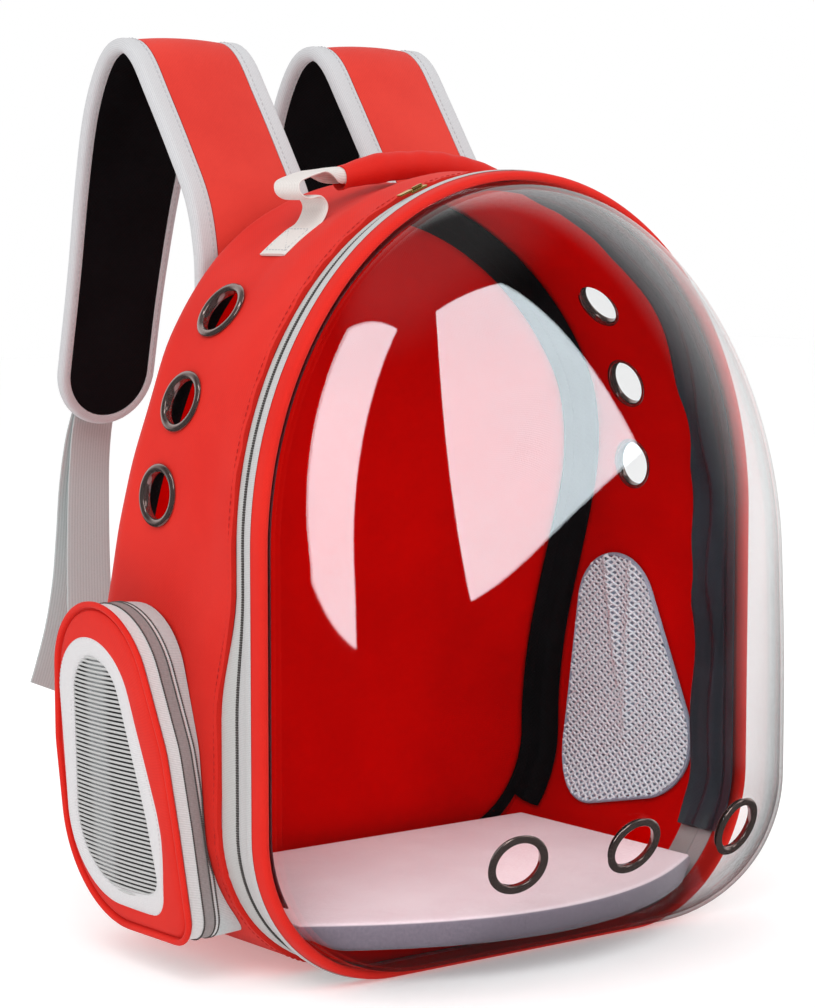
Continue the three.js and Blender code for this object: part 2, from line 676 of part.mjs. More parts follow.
const LOCK = { width: 40, height: 30, thick: 5, bar: 5, fromTip: 28 };
const WEB = { width: 28, thick: 1.6, stations: 14 };
const WEB_ROUTE = [
  { x: 66, y: 320.6, z: 285 }, { x: 67, y: 325.5, z: 262 }, { x: 71, y: 322, z: 234 },
  { x: 85, y: 300, z: 196 }, { x: 107, y: 263, z: 155 }, { x: 128, y: 228, z: 118 },
  { x: 140, y: 200, z: 90 }, { x: 132, y: 182, z: 67 }, { x: 110, y: 179, z: 55 },
];

function ladderLock({ length, place }) {
  const { width, height, bar, thick } = LOCK;
  const slot = (height - 3 * bar) / 2;
  const box = (target, x, z, w, h) => {
    target.moveTo(x, z);
    target.lineTo(x + w, z);
    target.lineTo(x + w, z + h);
    target.lineTo(x, z + h);
    target.closePath();
    return target;
  };
  const [left, foot] = [-width / 2, -height / 2];
  const shape = box(new THREE.Shape(), left, foot, width, height);
  shape.holes.push(box(new THREE.Path(), left + bar, foot + bar, width - 2 * bar, slot));
  shape.holes.push(box(new THREE.Path(), left + bar, foot + 2 * bar + slot, width - 2 * bar, slot));
  const lock = new THREE.ExtrudeGeometry(shape, { depth: thick, bevelEnabled: false });
  const seat = STRAP.outer + STRAP.proud + GAP;
  const middle = length - LOCK.fromTip;
  const up = place(middle - height / 2, 0, seat).sub(place(middle + height / 2, 0, seat)).normalize();
  const across = point(1, 0, 0);
  lock.applyMatrix4(new THREE.Matrix4().makeBasis(across, up, across.clone().cross(up)));
  const { x, y, z } = place(middle, 0, seat + thick);
  return lock.translate(x, y, z);
}

function ribbon(spots, width, thick, across) {
  const curve = new THREE.CatmullRomCurve3(spots);
  const loops = [];
  for (let i = 0; i <= WEB.stations; i += 1) {
    const tangent = curve.getTangentAt(i / WEB.stations);
    const side = across.clone().addScaledVector(tangent, -across.dot(tangent)).normalize();
    const up = tangent.clone().cross(side);
    const spot = curve.getPointAt(i / WEB.stations);
    const corner = (a, b) => spot.clone()
      .addScaledVector(side, a * width / 2)
      .addScaledVector(up, b * thick / 2);
    loops.push([corner(-1, -1), corner(1, -1), corner(1, 1), corner(-1, 1)]);
  }
  return loft(loops);
}

for (const { word, side } of SIDES) {
  const map = strapMap(side);
  piece(`strap_pad_${word}`, strapLayer(map, GAP / 2, STRAP.outer), MATERIAL.redCloth);
  piece(`strap_lining_${word}`, strapLayer(map, STRAP.inner, -GAP / 2), MATERIAL.blackCloth);
  piece(`strap_binding_${word}`, strapBinding(map), MATERIAL.binding);
  piece(`ladder_lock_${word}`, ladderLock(map), MATERIAL.buckle);
  const spots = WEB_ROUTE.map(({ x, y, z }) => point(side * x, y, z));
  piece(`strap_webbing_${word}`, ribbon(spots, WEB.width, WEB.thick, point(1, 0, 0)), MATERIAL.webbing);
}

// Carry handle: a padded grip on webbing that is folded once at each end and sewn to the arch

const HANDLE = { half: 53, y: 75, rise: 424, radius: 8.5, endShare: 0.72, sag: 3, sides: 8, stations: 6 };
const HANDLE_WEB = { width: 23, thick: 2, sewn: [107, 98, 90, 83], clear: 2.4 };
const HANDLE_FOLD = [
  { x: 79, z: 401 }, { x: 83, z: 406.5 }, { x: 94, z: 405.5 }, { x: 102, z: 408 }, { x: 99, z: 414 },
  { x: 85, z: 419 }, { x: 68, z: 423 }, { x: HANDLE.half + GAP, z: 424.5 },
];

function handleGrip() {
  const loops = [];
  for (let i = 0; i <= HANDLE.stations; i += 1) {
    const share = -1 + (2 * i) / HANDLE.stations;
    const radius = HANDLE.radius * (Math.abs(share) === 1 ? HANDLE.endShare : 1);
    const middle = HANDLE.rise - HANDLE.sag * share * share + HANDLE.sag;
    const loop = [];
    for (let k = 0; k < HANDLE.sides; k += 1) {
      const turn = (k / HANDLE.sides) * Math.PI * 2;
      const [out, up] = [radius * Math.cos(turn), radius * Math.sin(turn)];
      loop.push(point(share * HANDLE.half, HANDLE.y + out, middle + up));
    }
    loops.push(loop);
  }
  return loft(loops);
}

piece('handle_grip', handleGrip(), MATERIAL.redCloth);
for (const { word, side } of SIDES) {
  const sewn = HANDLE_WEB.sewn.map((x) => ({ x, z: archZ(x) - topSag(archZ(x)) + HANDLE_WEB.clear }));
  const spots = [...sewn, ...HANDLE_FOLD].map(({ x, z }) => point(side * x, HANDLE.y, z));
  const folded = ribbon(spots, HANDLE_WEB.width, HANDLE_WEB.thick, point(0, 1, 0));
  piece(`handle_web_${word}`, folded, MATERIAL.webbing);
}

export default bag;
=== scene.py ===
import json
import math

import bmesh
import bpy
import numpy as np
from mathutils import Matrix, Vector, noise

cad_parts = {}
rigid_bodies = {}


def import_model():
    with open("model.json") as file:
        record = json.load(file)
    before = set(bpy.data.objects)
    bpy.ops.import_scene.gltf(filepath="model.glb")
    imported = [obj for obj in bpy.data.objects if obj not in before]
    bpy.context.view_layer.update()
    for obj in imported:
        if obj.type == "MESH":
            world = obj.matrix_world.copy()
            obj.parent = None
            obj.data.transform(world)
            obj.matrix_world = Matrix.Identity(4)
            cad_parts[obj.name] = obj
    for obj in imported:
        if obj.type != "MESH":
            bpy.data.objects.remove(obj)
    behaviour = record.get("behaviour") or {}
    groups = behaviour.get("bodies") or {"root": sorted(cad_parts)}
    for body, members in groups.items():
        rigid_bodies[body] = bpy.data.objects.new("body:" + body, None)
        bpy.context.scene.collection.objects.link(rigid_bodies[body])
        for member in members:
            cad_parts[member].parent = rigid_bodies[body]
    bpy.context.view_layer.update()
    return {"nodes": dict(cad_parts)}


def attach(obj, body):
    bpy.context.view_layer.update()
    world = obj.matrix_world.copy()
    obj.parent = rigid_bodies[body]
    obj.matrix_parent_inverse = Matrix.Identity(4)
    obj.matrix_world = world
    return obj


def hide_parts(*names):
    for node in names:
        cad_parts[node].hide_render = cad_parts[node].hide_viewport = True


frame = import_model()
scene = bpy.context.scene
print("frame loaded:", len(frame["nodes"]), "solids")

# Sizes are in millimetres from the rim plane of the door; toFrame turns them into the part's metres.
shell = {
    "halfWidth": 169.0, "height": 420.0, "archStart": 228.6, "cornerRadius": 84.0,
    "wall": 3.0, "gap": 0.4, "baseMiddle": 88.0,
    "frontBack": 11.0, "bandLow": 26.0, "bandHigh": 11.5, "bandStart": 140.0, "bandEnd": 208.0,
    "backWaist": 126.0, "backBase": 174.0, "backTop": 142.0,
    "baseEnd": 90.0, "waistStart": 310.0, "topStart": 290.0,
    "sagDepth": 6.0, "sagStart": 330.0,
}
rimSteps = {"foot": 14, "corner": 24, "side": 18, "arch": 46}
sides = (("left", -1), ("right", 1))
perMetre = 1000
quarterTurn, fullTurn = math.pi / 2, 2 * math.pi


def toFrame(points):
    return (np.asarray(points, float) - (0, shell["baseMiddle"], 0)) / perMetre


def smoothStep(value, low, high):
    t = np.clip((np.asarray(value, float) - low) / (high - low), 0, 1)
    return t * t * (3 - 2 * t)


def stackXyz(x, y, z):
    return np.stack(np.broadcast_arrays(x, y, z), axis=1)


def atDepth(loop, y):  # a loop of x and z
    return stackXyz(loop[:, 0], y, loop[:, 1])


def atWidth(loop, x):  # a loop of y and z
    return stackXyz(x, loop[:, 0], loop[:, 1])


def rimLoop(inset=0.0):
    corner, start = shell["cornerRadius"], shell["archStart"]
    radius, cornerX = corner - inset, shell["halfWidth"] - corner
    half, rise = shell["halfWidth"] - inset, shell["height"] - start - inset
    right = [(cornerX * i / rimSteps["foot"], inset) for i in range(rimSteps["foot"])]
    for t in np.linspace(0, quarterTurn, rimSteps["corner"], endpoint=False):
        right.append((cornerX + radius * math.sin(t), corner - radius * math.cos(t)))
    for z in np.linspace(corner, start, rimSteps["side"], endpoint=False):
        right.append((half, z))
    for t in np.linspace(0, quarterTurn, rimSteps["arch"], endpoint=False):
        right.append((half * math.cos(t), start + rise * math.sin(t)))
    left = [(-x, z) for x, z in reversed(right[1:])]
    return np.array(right + [(0, start + rise)] + left)


def runOf(points, closed):
    pts = np.vstack([points, points[:1]]) if closed else np.asarray(points)
    return np.concatenate([[0], np.cumsum(np.linalg.norm(np.diff(pts, axis=0), axis=1))])


def sideX(z, inset=0.0):
    z = np.asarray(z, float)
    corner, start = shell["cornerRadius"], shell["archStart"]
    half, rise = shell["halfWidth"] - inset, shell["height"] - start - inset
    low = shell["halfWidth"] - corner + np.sqrt(np.clip((corner - inset) ** 2 - (corner - z) ** 2, 0, None))
    high = half * np.sqrt(np.clip(1 - ((z - start) / rise) ** 2, 0, None))
    return np.where(z < corner, low, np.where(z > start, high, half))


def archZ(x):
    share = np.asarray(x, float) / shell["halfWidth"]
    return shell["archStart"] + (shell["height"] - shell["archStart"]) * np.sqrt(np.clip(1 - share ** 2, 0, None))


def bandWidth(z):
    low, high = shell["bandLow"], shell["bandHigh"]
    return low - (low - high) * smoothStep(z, shell["bandStart"], shell["bandEnd"])


def shellFront(z):
    return shell["frontBack"] + shell["gap"] + bandWidth(z)


def shellBack(z):
    foot = 1 - smoothStep(z, shell["baseEnd"], shell["waistStart"])
    head = smoothStep(z, shell["topStart"], shell["height"])
    waist = shell["backWaist"]
    return waist + (shell["backBase"] - waist) * foot + (shell["backTop"] - waist) * head


def shellY(z, along):
    return shellFront(z) * (1 - along) + shellBack(z) * along


def topSag(z):
    return shell["sagDepth"] * smoothStep(z, shell["sagStart"], shell["height"])


def noiseAt(points, size, seed):
    return np.array([noise.noise(Vector(p) / size + Vector((seed, seed * 1.7, -seed))) for p in points])


# Meshes from grids of points: each row is a closed loop along u, and rows close into a ring or get caps.
# Runs are lengths in millimetres for the UV map.
def gridMesh(name, grid, ring=False, runU=None, runV=None):
    grid = np.asarray(grid, float)
    rows, cols = grid.shape[:2]
    points = [tuple(p) for p in toFrame(grid.reshape(-1, 3))]
    runU = np.arange(cols + 1, dtype=float) if runU is None else np.asarray(runU, float)
    runV = np.arange(rows + 1, dtype=float) if runV is None else np.asarray(runV, float)

    def uvAt(v, u):
        return runU[u] / perMetre, (runV[v] if runV.ndim == 1 else runV[v % rows, u % cols]) / perMetre

    faces, uvs = [], []
    for v in range(rows if ring else rows - 1):
        for u in range(cols):
            quad = ((v, u), (v, u + 1), (v + 1, u + 1), (v + 1, u))
            faces.append([(a % rows) * cols + b % cols for a, b in quad])
            uvs.append([uvAt(*corner) for corner in quad])
    for row, order in () if ring else ((0, 1), (rows - 1, -1)):
        points.append(tuple(np.mean(np.array(points[row * cols:(row + 1) * cols]), axis=0)))
        hub = len(points) - 1
        for u in range(cols):
            pair = [row * cols + u, row * cols + (u + 1) % cols][::order]
            faces.append([hub, pair[1], pair[0]])
            uvs.append([uvAt(row, u)] * 3)
    spots = np.array(points)
    volume = sum(np.dot(spots[f[0]], np.cross(spots[f[k]], spots[f[k + 1]]))
                 for f in faces for k in range(1, len(f) - 1))
    if volume < 0:
        faces = [f[::-1] for f in faces]
        uvs = [c[::-1] for c in uvs]
    mesh = bpy.data.meshes.new(name)
    mesh.from_pydata(points, [], faces)
    layer = mesh.uv_layers.new(name="UVMap")
    layer.data.foreach_set("uv", [x for f in uvs for c in f for x in c])
    mesh.update()
    return mesh


def joinMeshes(name, meshes):
    target = bmesh.new()
    for mesh in meshes:
        target.from_mesh(mesh)
    result = bpy.data.meshes.new(name)
    target.to_mesh(result)
    target.free()
    return result


def newObject(name, mesh):
    obj = bpy.data.objects.new(name, mesh)
    scene.collection.objects.link(obj)
    return obj


def bakeModifiers(obj):
    deps = bpy.context.evaluated_depsgraph_get()
    mesh = bpy.data.meshes.new_from_object(obj.evaluated_get(deps))
    obj.modifiers.clear()
    obj.data = mesh
    return obj


def place(obj, material, slotName, *nodes, sharp=40):
    if material is not None:
        obj.data.materials.clear()
        obj.data.materials.append(material)
    obj.data.shade_smooth()
    obj.data.set_sharp_from_angle(angle=math.radians(sharp))
    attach(obj, "root")
    if nodes:
        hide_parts(*nodes)
    return obj


def measuredMesh(name, grid, ring=False, around=0, along=0):
    grid = np.asarray(grid, float)
    return gridMesh(name, grid, ring, runOf(grid[around], True), runOf(grid[:, along], ring))


def gridPiece(name, grid, material, slotName, *nodes, sharp=40, **layout):
    return place(newObject(name, measuredMesh(name, grid, **layout)), material, slotName, *nodes, sharp=sharp)


# Paths in the air
def smoothPath(spots, count, fineSteps=24):
    pts = np.asarray(spots, float)
    ends = np.vstack([2 * pts[0] - pts[1], pts, 2 * pts[-1] - pts[-2]])
    fine = []
    for a, b, c, d in zip(ends, ends[1:], ends[2:], ends[3:]):
        for t in np.linspace(0, 1, fineSteps, endpoint=False):
            curve = (2 * a - 5 * b + 4 * c - d) * t * t + (3 * b - a - 3 * c + d) * t ** 3
            fine.append(0.5 * (2 * b + (c - a) * t + curve))
    fine = np.array(fine + [pts[-1]])
    run = runOf(fine, False)
    wanted = np.linspace(0, run[-1], count)
    return np.stack([np.interp(wanted, run, fine[:, k]) for k in range(3)], axis=1), run[-1]


def tangentsOf(path):
    t = np.gradient(path, axis=0)
    return t / np.linalg.norm(t, axis=1, keepdims=True)


def flatOval(width, thick, count, squareness):
    t = np.linspace(0, fullTurn, count, endpoint=False)
    wide = np.sign(np.cos(t)) * np.abs(np.cos(t)) ** squareness * width / 2
    high = np.sign(np.sin(t)) * np.abs(np.sin(t)) ** 0.6 * thick / 2
    return wide, high


def hullLoop(circles, grow=0.0, count=120, fineSteps=1440):
    turn = np.linspace(0, fullTurn, fineSteps, endpoint=False)
    ray = np.stack([np.cos(turn), np.sin(turn)], axis=1)
    spots = np.array([(y, z) for y, z, r in circles])
    radii = np.array([r for y, z, r in circles])
    best = np.argmax(ray @ spots.T + radii, axis=1)
    fine = spots[best] + (radii[best] + grow)[:, None] * ray
    run = runOf(fine, True)
    wanted = np.linspace(0, run[-1], count, endpoint=False)
    loop = np.vstack([fine, fine[:1]])
    return np.stack([np.interp(wanted, run, loop[:, k]) for k in range(2)], axis=1)


# Node building: a wire is one socket, and maths on wires adds the nodes for it.
class Wire:
    def __init__(self, home, socket):
        self.home, self.socket = home, socket

    def maths(self, operation, first, second=None):
        values = {0: first} if second is None else {0: first, 1: second}
        return self.home.node("ShaderNodeMath", {"operation": operation}, values)

    def __add__(self, other): return self.maths("ADD", self, other)
    def __radd__(self, other): return self.maths("ADD", other, self)
    def __sub__(self, other): return self.maths("SUBTRACT", self, other)
    def __rsub__(self, other): return self.maths("SUBTRACT", other, self)
    def __mul__(self, other): return self.maths("MULTIPLY", self, other)
    def __pow__(self, other): return self.maths("POWER", self, other)
    def sine(self): return self.maths("SINE", self)
    def size(self): return self.maths("ABSOLUTE", self)
    def most(self, other): return self.maths("MAXIMUM", self, other)

    def between(self, low, high, first=0.0, last=1.0):
        values = {"Value": self, "From Min": low, "From Max": high, "To Min": first, "To Max": last}
        return self.home.node("ShaderNodeMapRange", {"interpolation_type": "SMOOTHSTEP"}, values)

    def beside(self, out):
        return Wire(self.home, self.socket.node.outputs[out])


class Nodes:
    def __init__(self, tree):
        self.tree = tree

    def node(self, kind, settings=None, values=None, out=0):
        made = self.tree.nodes.new(kind)
        for key, value in (settings or {}).items():
            setattr(made, key, value)
        for key, value in (values or {}).items():
            if isinstance(value, Wire):
                self.tree.links.new(value.socket, made.inputs[key])
            else:
                made.inputs[key].default_value = value
        return Wire(self, made.outputs[out])

    def coords(self, source="Object"):
        return self.node("ShaderNodeTexCoord", out=source)

    def part(self, vector, axis):
        return self.node("ShaderNodeSeparateXYZ", None, {0: vector}, axis)


class Finish(Nodes):
    def __init__(self, name, **constants):
        self.material = bpy.data.materials.new(name)
        self.material.use_nodes = True
        super().__init__(self.material.node_tree)
        self.surface = self.tree.nodes["Principled BSDF"]
        for key, value in constants.items():
            self.surface.inputs[key.replace("_", " ")].default_value = value

    def feed(self, key, wire):
        self.tree.links.new(wire.socket, self.surface.inputs[key])

    def noise(self, vector, scale, detail=3.0):
        values = {"Vector": vector, "Scale": scale, "Detail": detail, "Roughness": 0.55}
        return self.node("ShaderNodeTexNoise", None, values)

    def blend(self, factor, first, second):
        return self.node("ShaderNodeMix", {"data_type": "RGBA"}, {0: factor, 6: first, 7: second}, 2)

    def bump(self, height, strength, distance):
        self.feed("Normal", self.node("ShaderNodeBump", None, {
            "Strength": strength, "Distance": distance, "Height": height}))

    def ribs(self, wire, pitch):
        return (wire * (perMetre * math.pi / pitch)).sine()


def paint(red, green, blue):  # screen colour, 0 to 255, as linear light
    shares = [c / 255 for c in (red, green, blue)]
    return tuple(c / 12.92 if c <= 0.04043 else ((c + 0.055) / 1.055) ** 2.4 for c in shares) + (1.0,)


def darker(colour, share):
    return tuple(c * share for c in colour[:3]) + (1.0,)


def weaveCloth(name, light, dark, pitch=0.9, depth=0.12, roughness=0.68, sheen=0.06, specular=0.16):
    cloth = Finish(name, Specular_IOR_Level=specular, Sheen_Weight=sheen, Sheen_Roughness=0.45)
    uv, spot = cloth.coords("UV"), cloth.coords()
    thread = (cloth.ribs(cloth.part(uv, "X"), pitch) * cloth.ribs(cloth.part(uv, "Y"), pitch)) * 0.5 + 0.5
    wide, fine = cloth.noise(spot, 16.0, 4.0), cloth.noise(spot, 420.0, 2.0)
    shade = (wide * 0.65 + fine * 0.2 + thread * 0.15).between(0.25, 0.75)
    cloth.feed("Base Color", cloth.blend(shade, dark, light))
    cloth.feed("Roughness", roughness + (fine - 0.5) * 0.18)
    cloth.bump(thread * 0.7 + fine * 0.3, depth, 0.0006)
    return cloth.material


def ribbedTape(name, light, dark, pitch=1.6, depth=0.3, crossPitch=0.7):
    tape = Finish(name, Specular_IOR_Level=0.25, Sheen_Weight=0.15)
    uv = tape.coords("UV")
    rib = tape.ribs(tape.part(uv, "X"), pitch).size()
    cross = tape.ribs(tape.part(uv, "Y"), crossPitch).size()
    speck = tape.noise(uv, 900.0, 2.0)
    shade = (rib * 0.45 + cross * 0.2 + speck * 0.5).between(0.2, 0.95)
    tape.feed("Base Color", tape.blend(shade, dark, light))
    tape.feed("Roughness", 0.75 + speck * 0.15)
    tape.bump(rib * 0.6 + cross * 0.4, depth, 0.0005)
    return tape.material


def plainMetal(name, colour, roughness, metallic=1.0):
    metal = Finish(name, Metallic=metallic)
    wear = metal.noise(metal.coords(), 260.0, 4.0)
    metal.feed("Base Color", metal.blend(wear.between(0.35, 0.7), darker(colour, 0.9), colour))
    metal.feed("Roughness", roughness + wear * 0.06)
    return metal.material


def mouldedPlastic(name, colour, roughness):
    plastic = Finish(name, Specular_IOR_Level=0.5)
    grain = plastic.noise(plastic.coords(), 1400.0, 2.0)
    plastic.feed("Base Color", plastic.blend(grain, darker(colour, 0.75), colour))
    plastic.feed("Roughness", roughness + grain * 0.12)
    plastic.bump(grain, 0.08, 0.0003)
    return plastic.material


redCloth = weaveCloth("redCloth", paint(222, 42, 30), paint(206, 29, 19))
rimCloth = weaveCloth("rimCloth", paint(222, 40, 28), paint(208, 28, 18))
strapRed = weaveCloth("strapRed", paint(221, 62, 50), paint(207, 50, 40))
trimTape = ribbedTape("trimTape", paint(220, 218, 219), paint(196, 194, 196), pitch=1.0)
cabinRed = weaveCloth("cabinRed", paint(230, 4, 1), paint(206, 2, 1), roughness=0.6, sheen=0.0, specular=0.0)
blackCloth = weaveCloth("blackCloth", paint(20, 19, 22), paint(8, 8, 10), pitch=1.4, depth=0.3,
                        sheen=0.02, specular=0.08)
satinBlack = weaveCloth("satinBlack", paint(50, 55, 63), paint(30, 33, 40), pitch=1.1, depth=0.08,
                        roughness=0.34, sheen=0.0, specular=0.5)
greyBinding = ribbedTape("greyBinding", paint(206, 206, 208), paint(184, 184, 187), pitch=1.1)
greyWebbing = ribbedTape("greyWebbing", paint(190, 196, 196), paint(170, 176, 176), pitch=1.8, depth=0.25)
handleTape = ribbedTape("handleTape", paint(226, 220, 216), paint(204, 198, 194), pitch=1.4)
zipCloth = ribbedTape("zipCloth", paint(194, 194, 192), paint(168, 169, 167), pitch=0.9)
doorCloth = ribbedTape("doorCloth", paint(196, 195, 195), paint(174, 173, 173), pitch=0.9)
coilNylon = mouldedPlastic("coilNylon", paint(84, 80, 78), 0.4)
gunmetal = plainMetal("gunmetal", paint(152, 134, 130), 0.1, metallic=0.86)
goldMetal = plainMetal("goldMetal", paint(206, 170, 96), 0.2)
buckleBlack = mouldedPlastic("buckleBlack", paint(38, 37, 40), 0.38)
threadRed = ribbedTape("threadRed", paint(190, 22, 14), paint(140, 10, 8))
threadSoft = ribbedTape("threadSoft", paint(212, 34, 25), paint(186, 22, 15))
threadGrey = ribbedTape("threadGrey", paint(204, 203, 206), paint(184, 183, 186))
netWhite = mouldedPlastic("netWhite", paint(238, 249, 255), 0.55)
netGrey = mouldedPlastic("netGrey", paint(206, 206, 205), 0.5)
wallBack = weaveCloth("wallBack", paint(164, 174, 190), paint(130, 140, 156), pitch=1.2)


# Geometry Nodes: a row of small beads along a path, for stitches and zip teeth, and round strands for nets
def newTree(name, **inputs):
    tree = bpy.data.node_groups.new(name, "GeometryNodeTree")
    tree.interface.new_socket("Geometry", in_out="INPUT", socket_type="NodeSocketGeometry")
    for label, kind in inputs.items():
        tree.interface.new_socket(label, in_out="INPUT", socket_type="NodeSocket" + kind)
    tree.interface.new_socket("Geometry", in_out="OUTPUT", socket_type="NodeSocketGeometry")
    grow = Nodes(tree)
    start = tree.nodes.new("NodeGroupInput")
    given = {label: Wire(grow, start.outputs[label]) for label in ("Geometry", *inputs)}
    return grow, given, grow.node("GeometryNodeMeshToCurve", None, {"Mesh": given["Geometry"]})


def endTree(grow, shape, material):
    real = grow.node("GeometryNodeRealizeInstances", None, {"Geometry": shape})
    coat = grow.node("GeometryNodeSetMaterial", None, {"Geometry": real, "Material": material})
    grow.tree.links.new(coat.socket, grow.tree.nodes.new("NodeGroupOutput").inputs["Geometry"])
    return grow.tree


def beadTree():
    grow, given, curve = newTree("beadRow", Pitch="Float", Length="Float", Radius="Float", Material="Material")
    points = grow.node("GeometryNodeCurveToPoints", {"mode": "LENGTH"}, {"Curve": curve, "Length": given["Pitch"]})
    bead = grow.node("GeometryNodeMeshUVSphere", None, {"Segments": 6, "Rings": 4, "Radius": 1.0})
    radius = given["Radius"]
    sizes = grow.node("ShaderNodeCombineXYZ", None, {"X": radius, "Y": radius, "Z": given["Length"] * 0.5})
    copies = grow.node("GeometryNodeInstanceOnPoints", None, {
        "Points": points, "Rotation": points.beside("Rotation"), "Instance": bead, "Scale": sizes})
    return endTree(grow, copies, given["Material"])


def strandTree():
    grow, given, curve = newTree("strandNet", Radius="Float", Sides="Int", Material="Material")
    ring = grow.node("GeometryNodeCurvePrimitiveCircle", None, {
        "Radius": given["Radius"], "Resolution": given["Sides"]})
    tube = grow.node("GeometryNodeCurveToMesh", None, {"Curve": curve, "Profile Curve": ring, "Fill Caps": True})
    return endTree(grow, tube, given["Material"])


beadRow = beadTree()
strandNet = strandTree()


def growPiece(name, tree, paths, slotName, *nodes, **values):
    points, edges = [], []
    for path, closed in paths:
        first, count = len(points), len(path)
        points += [tuple(p) for p in toFrame(path)]
        edges += [(first + i, first + i + 1) for i in range(count - 1)]
        if closed:
            edges.append((first + count - 1, first))
    mesh = bpy.data.meshes.new(name)
    mesh.from_pydata(points, edges, [])
    obj = newObject(name, mesh)
    modifier = obj.modifiers.new("grow", "NODES")
    modifier.node_group = tree
    for item in tree.interface.items_tree:
        if item.in_out == "INPUT" and item.name in values:
            value = values[item.name]
            modifier[item.identifier] = value / perMetre if item.socket_type == "NodeSocketFloat" else value
    return place(bakeModifiers(obj), None, slotName, *nodes)


def stitchRow(name, paths, material, slotName, pitch, length, radius):
    growPiece(name, beadRow, paths, slotName, Pitch=pitch, Length=length, Radius=radius, Material=material)


# Gusset: the red wall, with soft creases, six eyelet holes and two net windows
gusset = {
    "flatRows": 34, "bendRows": 10, "bendStart": 0.86, "turnIn": 13.0,
    "sagAt": (0, 0.2, 0.3, 0.42, 0.86, 0.95, 1), "sagShare": (0, 0, 0.5, 1, 0.8, 0.5, 0),
    "softFront": (0.02, 0.2), "softBack": (0.9, 1.0), "footFlat": (8.0, 60.0), "eyeletFlat": (16.0, 40.0),
    "crease": (62.0, 3.1), "creaseHeight": 1.5, "fine": (24.0, 8.4), "fineHeight": 0.55, "fineStretch": (1, 0.6, 1),
    "puckerPitch": 8.5, "puckerHeight": 0.5, "puckerReach": 9.0, "puckerDrift": (40.0, 1.2), "puckerShift": 3.0,
    "measuredAt": 60, "cabinMiddle": (0.0, 0.0, 0.21), "stitchOut": 0.15, "stitchBack": 3.0,
    "boreReach": 20, "windowSteps": 60, "windowCut": (130, 180),
}
eyelets = {
    "hole": 13.6, "bore": 12.4, "flange": 16.8, "washer": 15.0, "barrel": 13.3, "proud": 1.9, "inside": 0.7,
    "washerThick": 0.5, "round": 0.3, "flangeSteps": 13,
    "side": ((85.0, 347.0), (87.0, 300.0), (93.0, 251.0)),
    "dome": ((-75.0, 75.0), (0.0, 75.0), (75.0, 75.0)),
}
wallWindow = ((106.0, 162.0, 27.0), (79.0, 92.0, 32.0), (121.0, 76.0, 25.0))
wallHole = ((106.0, 162.0, 26.0), (86.0, 92.0, 30.0), (121.0, 76.0, 24.0))


def gussetGrid():
    bend = np.linspace(0, 1, gusset["bendRows"] + 1)[1:] * quarterTurn
    flat = np.linspace(0, gusset["bendStart"], gusset["flatRows"])
    along = np.concatenate([flat, gusset["bendStart"] + (1 - gusset["bendStart"]) * np.sin(bend)])
    inset = np.concatenate([0 * flat, gusset["turnIn"] * (1 - np.cos(bend))])
    turn = np.concatenate([0 * flat, bend])
    sag = np.interp(along, gusset["sagAt"], gusset["sagShare"])
    base = rimLoop()
    slope = np.roll(base, -1, axis=0) - np.roll(base, 1, axis=0)
    out = np.stack([slope[:, 1], -slope[:, 0]], axis=1) / np.linalg.norm(slope, axis=1, keepdims=True)
    run = runOf(base, True)[:-1]
    outer, inner = [], []
    for a, i, t, s in zip(along, inset, turn, sag):
        o, n = rimLoop(i), rimLoop(i + shell["wall"] * math.cos(t))
        z = o[:, 1]
        y = shellY(z, a)
        spots = atDepth(o, y)
        standing = smoothStep(z, *gusset["footFlat"])  # flat where it stands
        soft = smoothStep(a, *gusset["softFront"]) * (1 - smoothStep(a, *gusset["softBack"]))
        for ey, ez in eyelets["side"]:
            soft = soft * smoothStep(np.hypot(y - ey, z - ez), *gusset["eyeletFlat"])
        push = soft * standing * (gusset["creaseHeight"] * noiseAt(spots, *gusset["crease"])
                                  + gusset["fineHeight"] * noiseAt(spots * gusset["fineStretch"], *gusset["fine"]))
        near = np.exp(-np.abs(y - shellFront(z)) / gusset["puckerReach"]) * standing
        drift = gusset["puckerShift"] * noiseAt(spots, *gusset["puckerDrift"])
        push += near * gusset["puckerHeight"] * np.sin(run * fullTurn / gusset["puckerPitch"] + drift)
        dip = s * topSag(z)
        move = push[:, None] * out
        outer.append(stackXyz(o[:, 0] + move[:, 0], y, z - dip + move[:, 1]))
        inner.append(stackXyz(n[:, 0] + move[:, 0], y - shell["wall"] * math.sin(t), n[:, 1] - dip + move[:, 1]))
    return np.array(outer + inner[::-1])


def cutterFrom(name, loops):
    return newObject(name, gridMesh(name, loops))


def sidePlace(side, y, z, reach=5):
    slope = (sideX(z + reach) - sideX(z - reach)) / (2 * reach)
    out = np.array([side, 0, -float(slope)])
    return np.array([side * float(sideX(z)), y, z]), out / np.linalg.norm(out)


def circleRound(at, out, radius, lift, count=72):
    first = np.cross(out, (0, 0, 1.0) if abs(out[2]) < 0.9 else (1.0, 0, 0))
    first /= np.linalg.norm(first)
    second = np.cross(out, first)
    t = np.linspace(0, fullTurn, count, endpoint=False)
    return at + out * lift + radius * (np.cos(t)[:, None] * first + np.sin(t)[:, None] * second)


def boreTool(name, at, out, reach):
    return cutterFrom(name, [circleRound(at, out, eyelets["hole"], lift) for lift in (-reach, reach)])


def cutHoles(obj, cutters):
    for tool in cutters:
        step = obj.modifiers.new(tool.name, "BOOLEAN")
        step.operation, step.solver, step.object = "DIFFERENCE", "EXACT", tool
    bakeModifiers(obj)
    for tool in cutters:
        bpy.data.objects.remove(tool)


def lineInside(obj):
    obj.data.materials.append(cabinRed)
    for face in obj.data.polygons:
        inward = Vector(gusset["cabinMiddle"]) - face.center
        face.material_index = int(face.normal.dot(inward) > 0)


